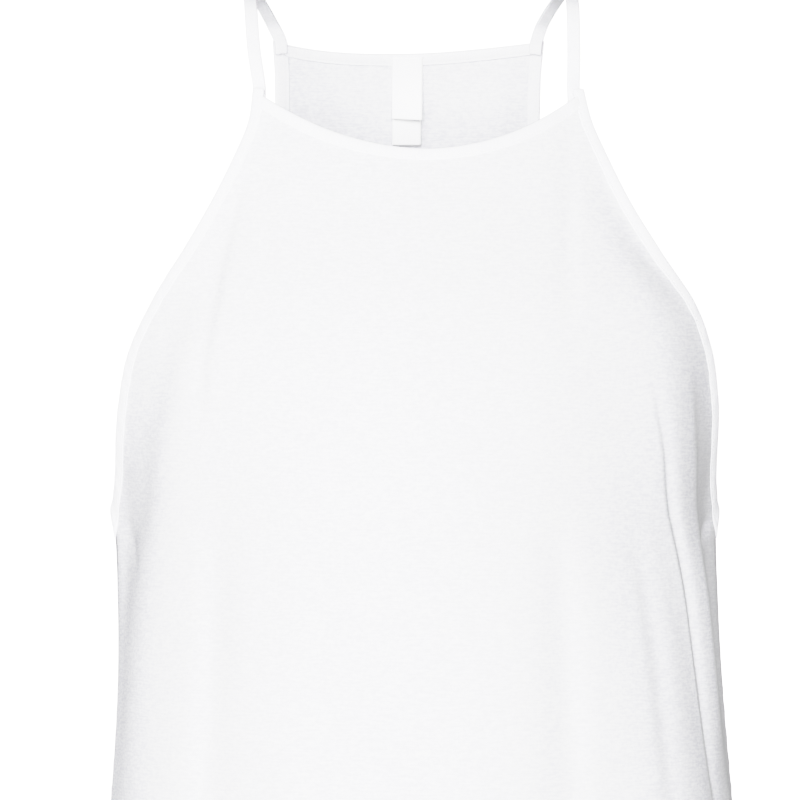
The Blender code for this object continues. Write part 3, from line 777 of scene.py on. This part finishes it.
def wall_piece(name, outer, inner, places, material):
    """A sheet between two grids of points, closed all round its rim."""
    rows, columns = outer.shape[:2]
    ids = np.arange(rows * columns).reshape(rows, columns)
    quads = np.stack([ids[:-1, :-1], ids[:-1, 1:], ids[1:, 1:], ids[1:, :-1]], axis=-1).reshape(-1, 4)
    rim = np.r_[ids[0], ids[1:, -1], ids[-1, -2::-1], ids[-2:0:-1, 0]]
    ahead, under = np.roll(rim, -1), rows * columns
    band = np.stack([ahead, rim, rim + under, ahead + under], axis=-1)
    faces = np.concatenate([quads, quads[:, ::-1] + under, band])
    points, places = np.stack([outer, inner]), np.stack([places, places])
    return new_piece(name, points, faces.tolist(), places, material)


def tube_piece(name, rings, material):
    """A closed tube through rings of points, with both ends rounded off."""
    centres = rings.mean(axis=1, keepdims=True)
    radius = np.linalg.norm(rings - centres, axis=-1).min()
    ends = []
    for edge, step in ((0, 1), (-1, -1)):
        away = unit(centres[edge] - centres[edge + step])
        for ahead, size in ROUND_OFF:
            ends.append(centres[edge] + (rings[edge] - centres[edge]) * size + away * radius * ahead)
    half = len(ROUND_OFF)
    rings = np.concatenate([ends[:half][::-1], rings, ends[half:]])
    count, around = rings.shape[:2]
    ids = np.arange(count * around).reshape(count, around)
    turned = np.roll(ids, -1, axis=1)
    faces = np.stack([ids[:-1], turned[:-1], turned[1:], ids[1:]], axis=-1).reshape(-1, 4).tolist()
    faces += [ids[0].tolist(), ids[-1][::-1].tolist()]
    along = np.r_[0, np.cumsum(np.linalg.norm(np.diff(rings.mean(axis=1), axis=0), axis=-1))]
    girth = np.r_[0, np.cumsum(np.linalg.norm(np.diff(rings[count // 2], axis=0), axis=-1))]
    places = np.stack(np.broadcast_arrays(along[:, None], girth[None, :]), axis=-1)
    return new_piece(name, rings, faces, places, material)


print("a tube's end is rounded off with", len(ROUND_OFF), "rings")

# %% [markdown]
# ## How sewing draws the cloth in
# Beside every binding, along the side seams and above the hem the cloth puckers slightly, and
# irregularly. Here a pucker is the sum of a few waves along the seam, with lengths from a fixed
# seed, and it dies away with the distance from the seam.

# %% Puckers
Pucker = namedtuple("Pucker", "length depth reach")
SIDE_PUCKER = Pucker(0.010, 0.00028, 0.007)
NECK_PUCKER = Pucker(0.009, 0.00022, 0.007)
HEM_PUCKER = Pucker(0.016, 0.00045, 0.012)
PUCKER_SHORTEST, PUCKER_SPREAD = 0.7, 0.9  # shares of its length
PUCKER_CALM = 2.2  # divides the sum of the waves
PUCKER_WAVES, PUCKER_SEED = 5, 21
pucker_waves = np.random.default_rng(PUCKER_SEED).uniform(0, 1, (PUCKER_WAVES, 2))


def pucker(kind, along, away):
    """Small irregular waves beside a seam. away is the distance from it."""
    total = 0
    for size, phase in pucker_waves:
        length = kind.length * (PUCKER_SHORTEST + PUCKER_SPREAD * size)
        total = total + np.sin(math.tau * (along / length + phase))
    return kind.depth * total / PUCKER_CALM * np.exp(-np.abs(away) / kind.reach)


print("puckers from", PUCKER_WAVES, "waves")

# %% [markdown]
# ## The front and the back
# Each is one piece of jersey with its edges covered by bindings, so the mesh runs a little way
# under them. The hem is turned up 20 mm to the inside: there the wall is twice as thick, its fold
# is round, and two lines of stitching sink into it.

# %% Build the two panels
WALL = 0.0009
HEM_HEIGHT = 0.020
HEM_ROWS = (0.0185, 0.0125)  # the two needle lines, above the fold
HEM_FOLD_LEVELS = (0, 0.0001, 0.0003, 0.0006, 0.001)  # rows of the mesh round the fold
FOLD_RADIUS = 0.001
HEM_MARGIN = 0.002  # the hem's close rows start this far above the fold, and end so above it
HEM_LEVELS, BODY_LEVELS, SEAM_LEVELS, ARMHOLE_LEVELS = 21, 108, 6, 78
COLUMNS = 200
COLUMN_SAMPLES = 2001
# Where the columns are closer together: panel, place across, width and how much denser.
DENSER = ((FRONT, 0.71, 0.05, 2.6), (FRONT, 0.87, 0.06, 1.2), (BACK, -0.72, 0.05, 2.0))
UNDER_BINDING = 0.0035  # how far inside the finished edge the panel's own edge lies
SEAM_GAP = 0.00005  # keeps front and back from touching at the side seam
TOP_ROW_AT = 0.92  # the neckline's slope here sets how far the top row lies below the corner
DIP_GROWTH = 1.4  # above 1, the rows bend more the closer they are to the neckline
SEWN_WITHIN = 0.004  # puckers are at full size this far from a side seam, which stays put
GROOVE_DEPTH, GROOVE_WIDTH = 0.00022, 0.0009  # where a line of stitches sinks in
GROOVE_INSIDE = 0.6  # the share of that depth on the inside


def panel_levels(panel):
    """The heights of the rows at the side edge, from the hem up."""
    top = CORNER[panel] - neck_drop(panel, TOP_ROW_AT, UNDER_BINDING)
    meets_seam = UNDERARM - seam_drop(panel, UNDER_BINDING)
    hem = HEM + HEM_MARGIN
    marks = (hem, hem + HEM_HEIGHT, meets_seam, UNDERARM, top)
    counts = (HEM_LEVELS, BODY_LEVELS, SEAM_LEVELS, ARMHOLE_LEVELS)
    runs = [np.linspace(*run) for run in zip(marks, marks[1:], counts)]
    return np.concatenate([HEM + np.array(HEM_FOLD_LEVELS), runs[0], *(run[1:] for run in runs[1:])])


def panel_columns(panel):
    """Places across a panel, closer together where its thin creases are."""
    fine = np.linspace(-1, 1, COLUMN_SAMPLES)
    density = np.ones(COLUMN_SAMPLES)
    for side, at, wide, more in DENSER:
        if side == panel:
            density += more * np.exp(-(((fine - at) / wide) ** 2))
    total = np.r_[0, np.cumsum((density[1:] + density[:-1]) / 2)]
    return np.interp(np.linspace(0, total[-1], COLUMNS + 1), total, fine)


def make_panel(name, panel):
    levels = panel_levels(panel)
    top = levels[-1]
    rise = np.clip((levels - DIPPED_FROM) / (top - DIPPED_FROM), 0, 1) ** DIP_GROWTH
    across = panel_columns(panel)
    guess = across * share_inside(panel, levels, UNDER_BINDING)[:, None]
    below_neck = neck_height(panel, guess) - neck_drop(panel, guess, UNDER_BINDING)
    height = levels[:, None] + (below_neck - top) * rise[:, None]
    s = across * share_inside(panel, height, UNDER_BINDING, SEAM_GAP)
    middle = surface(panel, s, height)
    width = half_length(panel, height)
    normal = outward(panel, np.gradient(middle, axis=1), np.gradient(middle, axis=0))
    still = np.minimum(1, (1 - abs(across)) * width / SEWN_WITHIN)
    bump = pucker(SIDE_PUCKER, height, (1 - abs(s)) * width)
    bump += pucker(NECK_PUCKER, s * width, neck_height(panel, s) - height)
    bump += pucker(HEM_PUCKER, s * width, height - HEM - HEM_HEIGHT)
    middle = middle + normal * (bump * still)[..., None]
    normal = outward(panel, np.gradient(middle, axis=1), np.gradient(middle, axis=0))
    below = levels < UNDERARM
    for edge in (0, -1):
        normal[below, edge] = at_seam(normal[below, edge])
    above_fold = np.clip((height - HEM) / FOLD_RADIUS, 0, 1)
    rounded = np.sqrt(1 - (1 - above_fold) ** 2)
    turned_up = WALL * (1 - ease((height - HEM - HEM_HEIGHT) / FOLD_RADIUS))
    half = (WALL + turned_up) / 2 * rounded
    sunk = sum(np.exp(-(((height - HEM - row) / GROOVE_WIDTH) ** 2)) for row in HEM_ROWS) * GROOVE_DEPTH
    centre = middle - normal * (turned_up / 2)[..., None]
    outer = centre + normal * (half - sunk)[..., None]
    inner = centre - normal * (half - sunk * GROOVE_INSIDE)[..., None]
    places = np.stack([s * width, height], axis=-1)
    made = wall_piece(name, outer, inner, places, jersey)
    print(name, len(made.data.polygons), "faces")
    return made


front = make_panel("jersey_front", FRONT)
back = make_panel("jersey_back", BACK)

# %% [markdown]
# ## The bindings
# The neckline and the armholes are bound with strips of the same jersey, folded round the raw
# edge and stitched down near their inner edge. The folded edge is full and round, the stitch
# line sinks in, and the last millimetre lies flat again. A ring of points has that profile, and
# the rings follow the edge of the cloth with the width that the binding really has.

# %% The profile of a binding
BINDING_WIDTH, BINDING_HALF_THICKNESS = 0.0065, 0.00105
STITCH_SHARE = 0.78  # the stitch line's place across the binding, from the outer edge
OUTER_SIDE = (  # share of the width from the outer edge, share of the half thickness
    (0.00, 0.25), (0.03, 0.62), (0.09, 0.88), (0.18, 1.00), (0.32, 1.04), (0.48, 1.02), (0.62, 0.97),
    (0.70, 0.88), (STITCH_SHARE, 0.74), (0.85, 0.84), (0.93, 0.82), (0.98, 0.66), (1.00, 0.36),
)
FACING = {"left_back": 1.32, "right_back": 1.12}  # how much wider the binding is on the inside
SWELLS, SWELL = 6, 0.035
SWELL_SHORTEST, SWELL_SPREAD = 0.006, 0.016


def binding_outline(facing):
    inner_side = [(share * (facing if share > 0.5 else 1), -up) for share, up in reversed(OUTER_SIDE)]
    return np.array(list(OUTER_SIDE) + inner_side)


def binding_rings(edge, line, normal, half, facing=1.0):
    """Rings between the points of an outer edge and of a line inside it."""
    share, up = binding_outline(facing).T[:, None, :, None]
    flat = edge[:, None] + (line - edge)[:, None] * share
    return flat + normal[:, None] * up * half[:, None, None]


def fullness(t, length, seed):
    """A binding isn't evenly full: it swells a little, at random, between needle holes."""
    waves = np.random.default_rng(seed).uniform(0, 1, (SWELLS, 2))
    turns = [t * length / (SWELL_SHORTEST + SWELL_SPREAD * a) + b for a, b in waves]
    return BINDING_HALF_THICKNESS * (1 + SWELL * sum(np.sin(math.tau * turn) for turn in turns))


print("a ring has", len(binding_outline(1)), "points")

# %% [markdown]
# ## Where the bindings run
# A binding lies between two lines on the cloth: the finished edge, and its own inner edge, 6.5 mm
# inside it. At a corner the neck binding ends on the armhole binding. At a side seam the armhole
# bindings of front and back are sewn together, which leaves a small lump.

# %% Build the bindings
NECK_STATIONS, ARMHOLE_STATIONS = 110, 150
NECK_LENGTH, ARMHOLE_LENGTH = 0.20, 0.28  # in metres, only for the spacing of the swells
NECK_FULLNESS = {FRONT: 0.94, BACK: 1.30}
NECK_INSET = 0.0012  # a neck binding's ends reach this far over the armhole bindings' inner edge
LINE_START = 0.0006  # the inner line of an armhole binding starts this much lower than its edge
ENDS_LEVEL = 0.04  # the last share of an armhole binding, which turns to lie level at the seam
LUMP_AT, LUMP_WIDTH, LUMP_FULLNESS, LUMP_RISE = 0.985, 0.012, 0.45, 0.0007
ARMHOLE_SEED = 3


def neck_edges(panel, stations):
    """The edge and the inner line of a neck binding, and the outward directions between them."""
    across = np.linspace(-1, 1, stations)
    ends = []
    for depth in (0, BINDING_WIDTH):
        s = across
        for _ in range(3):  # each round brings the place and the height closer to each other
            height = neck_height(panel, s) - neck_drop(panel, s, depth)
            s = across * share_inside(panel, height, BINDING_WIDTH - NECK_INSET)
        ends.append((s, height))
    (s1, h1), (s2, h2) = ends
    normal = surface_normal(panel, (s1 + s2) / 2, (h1 + h2) / 2)
    return surface(panel, s1, h1), surface(panel, s2, h2), normal


def armhole_edges(panel, side, stations):
    """The same for an armhole binding, from the corner down to the side seam."""
    top = CORNER[panel]
    inner_end = UNDERARM - seam_drop(panel, BINDING_WIDTH)
    t = np.linspace(0, 1, stations)
    edge_height = top + (UNDERARM - top) * t
    line_height = top - LINE_START + (inner_end - top + LINE_START) * t
    s_edge = side * (1 - SEAM_GAP / half_length(panel, edge_height))
    s_line = side * share_inside(panel, line_height, BINDING_WIDTH, SEAM_GAP)
    normal = surface_normal(panel, (s_edge + s_line) / 2, (edge_height + line_height) / 2)
    last = ease((t - (1 - ENDS_LEVEL)) / ENDS_LEVEL)[:, None]
    normal = unit(normal * (1 - last) + at_seam(normal) * last)
    return surface(panel, s_edge, edge_height), surface(panel, s_line, line_height), normal


bindings, binding_lines = {}, {}


def bind(name, lines, half, facing=1.0, moved=0.0):
    """Adds a binding, and keeps its lines for the stitches."""
    edge, line, normal = binding_lines[name] = lines
    rings = binding_rings(edge + moved, line + moved, normal, half, facing)
    bindings[name] = tube_piece("bound_" + name.removesuffix("_binding"), rings, rib)


for seed, (word, panel) in enumerate((("front", FRONT), ("back", BACK))):
    half = fullness(np.linspace(0, 1, NECK_STATIONS), NECK_LENGTH, seed) * NECK_FULLNESS[panel]
    bind(f"{word}_neck_binding", neck_edges(panel, NECK_STATIONS), half)
    for side, hand in ((-1, "left"), (1, "right")):
        lines = armhole_edges(panel, side, ARMHOLE_STATIONS)
        t = np.linspace(0, 1, ARMHOLE_STATIONS)
        lump = np.exp(-(((t - LUMP_AT) / LUMP_WIDTH) ** 2))  # where front and back are sewn together
        half = fullness(t, ARMHOLE_LENGTH, 10 * seed + side + ARMHOLE_SEED) * (1 + LUMP_FULLNESS * lump)
        moved = lines[2] * (lump * LUMP_RISE)[:, None]
        facing = FACING.get(f"{hand}_{word}", 1.0)
        bind(f"{hand}_{word}_armhole_binding", lines, half, facing, moved)
print(len(bindings), "bindings")

# %% [markdown]
# ## Pieces grown along lines
# Straps and stitches follow lines, and Geometry Nodes can build along a line. A line goes in as
# loose edges, whose points carry the direction in which the cloth faces there. A tree of nodes
# has named inputs for its sizes, runs as a modifier, and its result is kept as a plain mesh.


# %% Lines in, plain meshes out
def guide_piece(name, lines):
    """A mesh of loose lines whose points carry the direction "out", from (points, out) pairs."""
    points = np.concatenate([line for line, _ in lines])
    outs = np.concatenate([np.broadcast_to(out, line.shape) for line, out in lines])
    edges, start = [], 0
    for line, _ in lines:
        edges += [(i, i + 1) for i in range(start, start + len(line) - 1)]
        start += len(line)
    mesh = bpy.data.meshes.new(name)
    mesh.from_pydata(points.tolist(), edges, [])
    mesh.attributes.new("out", "FLOAT_VECTOR", "POINT").data.foreach_set("vector", outs.ravel())
    return put(name, mesh)


def new_tree(name, **sizes):
    """A Geometry Nodes tree, its inputs, and a function that adds a node to it."""
    tree = bpy.data.node_groups.new(name, "GeometryNodeTree")
    for way in ("INPUT", "OUTPUT"):
        tree.interface.new_socket("Geometry", in_out=way, socket_type="NodeSocketGeometry")
    for label, kind in sizes.items():
        tree.interface.new_socket(label, in_out="INPUT", socket_type="NodeSocket" + kind)
    return tree, add_node(tree, "NodeGroupInput").outputs, partial(add_node, tree)


def grown(guide, tree, name, values):
    """The guide's mesh after the tree has run on it with these values, as a plain mesh."""
    modifier = guide.modifiers.new("grow", "NODES")
    modifier.node_group = tree
    for item in tree.interface.items_tree:
        if item.in_out == "INPUT" and item.name in values:
            modifier[item.identifier] = values[item.name]
    bpy.context.view_layer.update()
    evaluated = guide.evaluated_get(bpy.context.evaluated_depsgraph_get())
    made = put(name, bpy.data.meshes.new_from_object(evaluated))
    bpy.data.objects.remove(guide)
    return made


print("ready to grow pieces along lines")

# %% [markdown]
# ## The straps
# Each strap is a narrow tube of binding, pressed flat, that runs over the shoulder from behind
# the front's corner to behind the back's. Its shape follows a rule, one rounded profile swept
# along one path, so Geometry Nodes makes it: the path goes in as a line of points that carry the
# direction in which the strap faces, and its sizes are the tree's inputs.

# %% Build the straps with Geometry Nodes
STRAP_WIDTH, STRAP_THICKNESS, STRAP_ROUNDING = 0.0070, 0.0019, 0.0008
STRAP_FRONT_X = {-1: 0.0870, 1: 0.0849}  # where it comes out of the front's corner
STRAP_BACK_INSET = 0.0040  # its centre line from the back panel's edge
STRAP_FRONT_TUCK, STRAP_BACK_TUCK = 0.0110, 0.0060
STRAP_CLEARANCE = 0.0027
STRAP_ABOVE_CORNER = 0.001
STRAP_STATIONS = 120
ROUNDING_POINTS = 5
ACROSS_STEP = 0.02  # a share of the panel's width, for the direction across a strap
Rest = namedtuple("Rest", "y height left_x right_x")
STRAP_OVER_SHOULDER = (
    Rest(-0.0400, -0.0380, -0.0890, 0.0848),
    Rest(-0.0240, -0.0130, -0.0905, 0.0854),
    Rest(0.0080, -0.0010, -0.0905, 0.0856),
    Rest(0.0420, -0.0050, -0.0850, 0.0818),
    Rest(0.0640, -0.0165, -0.0772, 0.0752),
)


def strip_tree():
    """Sweeps a rounded, flat profile along a line. The strip's face looks towards "out"."""
    tree, sizes, node = new_tree(
        "swept strip", Width="Float", Thickness="Float", Rounding="Float", Material="Material"
    )

    def named(name, **kind):
        return node("GeometryNodeInputNamedAttribute", {"Name": name}, **kind).outputs["Attribute"]

    def stored(geometry, name, value, **kind):
        inputs = {"Geometry": geometry, "Name": name, "Value": value}
        return node("GeometryNodeStoreNamedAttribute", inputs, **kind)

    out = named("out", data_type="FLOAT_VECTOR")
    path = node("GeometryNodeMeshToCurve", {"Mesh": sizes["Geometry"]})
    facing = node("GeometryNodeSetCurveNormal", {"Curve": path, "Normal": out}, mode="FREE")
    length = node("GeometryNodeSplineParameter").outputs["Length"]
    along = stored(facing, "along", length)
    flat = {"Width": sizes["Thickness"], "Height": sizes["Width"]}
    profile = node("GeometryNodeCurvePrimitiveQuadrilateral", flat)
    corners = {"Curve": profile, "Radius": sizes["Rounding"], "Count": ROUNDING_POINTS}
    rounded = node("GeometryNodeFilletCurve", corners, mode="POLY")
    around = stored(rounded, "around", length)
    both = {"Curve": along, "Profile Curve": around, "Fill Caps": True}
    swept = node("GeometryNodeCurveToMesh", both)
    place = node("ShaderNodeCombineXYZ", {"X": named("along"), "Y": named("around")})
    mapped = stored(swept, "UVMap", place, data_type="FLOAT2", domain="CORNER")
    smooth = node("GeometryNodeSetShadeSmooth", {"Geometry": mapped})
    real = node("GeometryNodeRealizeInstances", {"Geometry": smooth})
    clothed = node("GeometryNodeSetMaterial", {"Geometry": real, "Material": sizes["Material"]})
    node("NodeGroupOutput", {0: clothed})
    return tree


def share_at(panel, x, height):
    """The place across the panel that lies at this x."""
    row = section_at(panel, height)
    turn = np.radians(row.turn)
    return np.arcsin((x - row.lean) / row.form_x * np.sin(turn)) / turn / reach(panel, height)


def strap_line(side, stations):
    """Points along a strap's centre line, with the direction across it at each."""
    marks = []

    def tucked(panel, s, height):
        normal = surface_normal(panel, s, height)
        across = surface(panel, s + ACROSS_STEP, height) - surface(panel, s - ACROSS_STEP, height)
        marks.append(np.r_[surface(panel, s, height) - normal * STRAP_CLEARANCE, unit(across)])

    corner = CORNER[FRONT] + STRAP_ABOVE_CORNER
    for height in (corner - STRAP_FRONT_TUCK, corner - STRAP_FRONT_TUCK / 2, corner):
        tucked(FRONT, share_at(FRONT, side * STRAP_FRONT_X[side], height), height)
    for rest in STRAP_OVER_SHOULDER:
        marks.append(np.array((rest.left_x if side < 0 else rest.right_x, rest.y, rest.height, 1, 0, 0)))
    for height in (CORNER[BACK], CORNER[BACK] - STRAP_BACK_TUCK / 2, CORNER[BACK] - STRAP_BACK_TUCK):
        tucked(BACK, side * (1 - STRAP_BACK_INSET / half_length(BACK, height)), height)
    marks = np.array(marks)
    knots = -np.r_[0, np.cumsum(np.linalg.norm(np.diff(marks[:, :3], axis=0), axis=1))]
    at = np.linspace(0, knots[-1], stations)
    found = np.stack([smooth_between(knots, column, at) for column in marks.T], axis=-1)
    points, across = found[:, :3], unit(found[:, 3:])
    outs = unit(np.cross(across, np.gradient(points, axis=0)))
    return points, across, outs


strip = strip_tree()
STRAP = {"Width": STRAP_WIDTH, "Thickness": STRAP_THICKNESS, "Rounding": STRAP_ROUNDING, "Material": rib}
straps, strap_lines, strap_lengths = {}, {}, {}
for side, hand in ((-1, "left"), (1, "right")):
    points, across, outs = strap_lines[hand] = strap_line(side, STRAP_STATIONS)
    guide = guide_piece(f"{hand} strap path", [(points, outs)])
    straps[hand] = grown(guide, strip, f"strap_{hand}", STRAP)
    strap_lengths[hand] = float(np.linalg.norm(np.diff(points, axis=0), axis=1).sum())
    print(hand, "strap", round(strap_lengths[hand] * MM), "mm,", len(straps[hand].data.polygons), "faces")

# %% [markdown]
# ## The labels
# Two bare labels hang inside the back neck: a short one of satin tape, and behind it a longer
# care label. Both are caught in the binding's seam at the top. Below it they hang free, and
# their ends stand a little off the cloth, which gives the soft shadows under them.

# %% Build the labels
LABEL_THICKNESS = 0.0005
LABEL_ROWS, LABEL_COLUMNS = 40, 13
CURL = 2.5  # a power: higher, and only a label's end stands off
Label = namedtuple("Label", "name width top end clearance lift aside cup")
LABELS = (
    Label("care_label", 0.0166, -0.0340, -0.0830, 0.0010, 0.0022, 0.0000, 0.0004),
    Label("neck_label", 0.0176, -0.0335, -0.0678, 0.0019, 0.0044, 0.0018, 0.0003),
)


def make_label(label):
    """A tape on the back's inner side. Its end stands off, more at one side by aside."""
    down = np.linspace(0, 1, LABEL_ROWS)[:, None]
    across = np.linspace(-0.5, 0.5, LABEL_COLUMNS)[None, :]
    height = label.top + (label.end - label.top) * down
    s = share_at(BACK, across * label.width, height)
    lift = (label.lift + label.aside * 2 * across) * down**CURL
    stand_off = label.clearance + lift - label.cup * (2 * across) ** 2
    normal = surface_normal(BACK, s, height)
    middle = surface(BACK, s, height) - normal * stand_off[..., None]
    half = normal * LABEL_THICKNESS / 2
    places = np.stack(np.broadcast_arrays(across * label.width, height), axis=-1)
    return wall_piece(label.name + "_tape", middle + half, middle - half, places, tape)


labels = {label.name: make_label(label) for label in LABELS}
print("labels:", ", ".join(labels))

# %% [markdown]
# ## The stitches
# Every stitch is the same small thing again and again: a short length of thread that comes up
# through the cloth and goes down again, 2.4 mm further on. Geometry Nodes places them: the sewn
# lines go in as paths with the cloth's outward direction on their points, the paths are cut at
# the stitch length, and one rounded bit of thread is set on each point, turned along the line
# and a little out of true by a fixed seed.

# %% A tree that lays stitches
STITCH_PITCH, STITCH_LENGTH, STITCH_THICKNESS = 0.0024, 0.0020, 0.0004
STITCH_UNEVENNESS, STITCH_SEED = 0.10, 3
BIT_SEGMENTS, BIT_RINGS = 8, 6


def stitch_tree():
    """Sets one rounded bit of thread after another along every line of the guide."""
    tree, sizes, node = new_tree(
        "row of stitches", Pitch="Float", Length="Float", Thickness="Float",
        Unevenness="Float", Seed="Int", Material="Material",
    )
    path = node("GeometryNodeMeshToCurve", {"Mesh": sizes["Geometry"]})
    cut = node("GeometryNodeResampleCurve", {"Curve": path, "Length": sizes["Pitch"]}, mode="LENGTH")
    out = node("GeometryNodeInputNamedAttribute", {"Name": "out"}, data_type="FLOAT_VECTOR")
    axes = {"Primary Axis": node("GeometryNodeInputTangent"), "Secondary Axis": out.outputs["Attribute"]}
    turned = node("FunctionNodeAxesToRotation", axes, primary_axis="X", secondary_axis="Z")
    low = node("ShaderNodeMath", {0: sizes["Unevenness"], 1: -1.0}, operation="MULTIPLY")
    limits = {"Min": low, "Max": sizes["Unevenness"], "Seed": sizes["Seed"]}
    askew = node("FunctionNodeRandomValue", limits, data_type="FLOAT").outputs[1]
    leaning = node("FunctionNodeEulerToRotation", {0: node("ShaderNodeCombineXYZ", {"Z": askew})})
    both = {"Rotation": turned, "Rotate By": leaning}
    rotation = node("FunctionNodeRotateRotation", both, rotation_space="LOCAL")
    ball = node("GeometryNodeMeshUVSphere", {"Segments": BIT_SEGMENTS, "Rings": BIT_RINGS, "Radius": 0.5})
    thick = sizes["Thickness"]
    size = node("ShaderNodeCombineXYZ", {"X": thick, "Y": thick, "Z": sizes["Length"]})
    laid = node("GeometryNodeTransform", {"Geometry": ball, "Scale": size})
    bit = node("GeometryNodeTransform", {"Geometry": laid, "Rotation": (0, math.pi / 2, 0)})
    placed = node("GeometryNodeInstanceOnPoints", {"Points": cut, "Instance": bit, "Rotation": rotation})
    real = node("GeometryNodeRealizeInstances", {"Geometry": placed})
    smooth = node("GeometryNodeSetShadeSmooth", {"Geometry": real})
    threaded = node("GeometryNodeSetMaterial", {"Geometry": smooth, "Material": sizes["Material"]})
    node("NodeGroupOutput", {0: threaded})
    return tree


stitching = stitch_tree()
print(len(stitching.nodes), "nodes lay the stitches")

# %% [markdown]
# ## Where the stitches run
# A binding is sewn through, so its stitches show in the groove on both faces. The hem's two lines
# show on the outside. A strap has one line, on both faces, towards one of its edges.

# %% Sew every line
IN_GROOVE = BINDING_HALF_THICKNESS * 0.80  # the thread lies this far from a binding's middle
SUNK = 0.0001  # how deep the hem's thread lies in the cloth
HEM_LINE_ENDS, HEM_LINE_STATIONS = 0.995, 260
STRAP_ROW_AT, STRAP_ROW_UP = 0.28, 0.46  # shares of the strap's width and thickness


def on_panel(panel, s, height, up):
    points, normal = surface(panel, s, height), surface_normal(panel, s, height)
    return points + normal * up, normal


STITCH = {
    "Pitch": STITCH_PITCH, "Length": STITCH_LENGTH, "Thickness": STITCH_THICKNESS,
    "Unevenness": STITCH_UNEVENNESS, "Seed": STITCH_SEED, "Material": thread,
}
sewn_lines = {"front": [], "back": []}
for name, (edge, line, normal) in binding_lines.items():
    middle = edge + (line - edge) * STITCH_SHARE
    lines = sewn_lines["front" if "front" in name else "back"]
    lines += [(middle + normal * IN_GROOVE * way, normal * way) for way in (1, -1)]
for word, panel in (("front", FRONT), ("back", BACK)):
    across = np.linspace(-HEM_LINE_ENDS, HEM_LINE_ENDS, HEM_LINE_STATIONS)
    for row in HEM_ROWS:
        height = np.full(HEM_LINE_STATIONS, HEM + row)
        sewn_lines[word].append(on_panel(panel, across, height, WALL / 2 - SUNK))
stitches, strap_stitches = {}, {}
for word, lines in sewn_lines.items():
    guide = guide_piece(f"{word} sewn lines", lines)
    stitches[word] = grown(guide, stitching, f"stitches_{word}", STITCH)
    print(word, "stitches:", len(stitches[word].data.polygons), "faces")
for hand, (points, across, outs) in strap_lines.items():
    row = points + across * STRAP_WIDTH * STRAP_ROW_AT
    up = outs * STRAP_THICKNESS * STRAP_ROW_UP
    guide = guide_piece(f"{hand} strap lines", [(row + up, outs), (row - up, -outs)])
    strap_stitches[hand] = grown(guide, stitching, f"stitches_strap_{hand}", STITCH)

Cut = namedtuple("Cut", "flat area")


def declare(piece, node):
    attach(piece, "root")
    if node:
        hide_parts(node)


declare(front, "front_body")
declare(back, "back_body")
for name, piece in bindings.items():
    declare(piece, name)
for hand, piece in straps.items():
    declare(piece, f"{hand}_strap")
    declare(strap_stitches[hand], None)
for name, piece in labels.items():
    declare(piece, name)
for piece in stitches.values():
    declare(piece, None)

print("sheets:", 2 + len(straps) + len(labels))
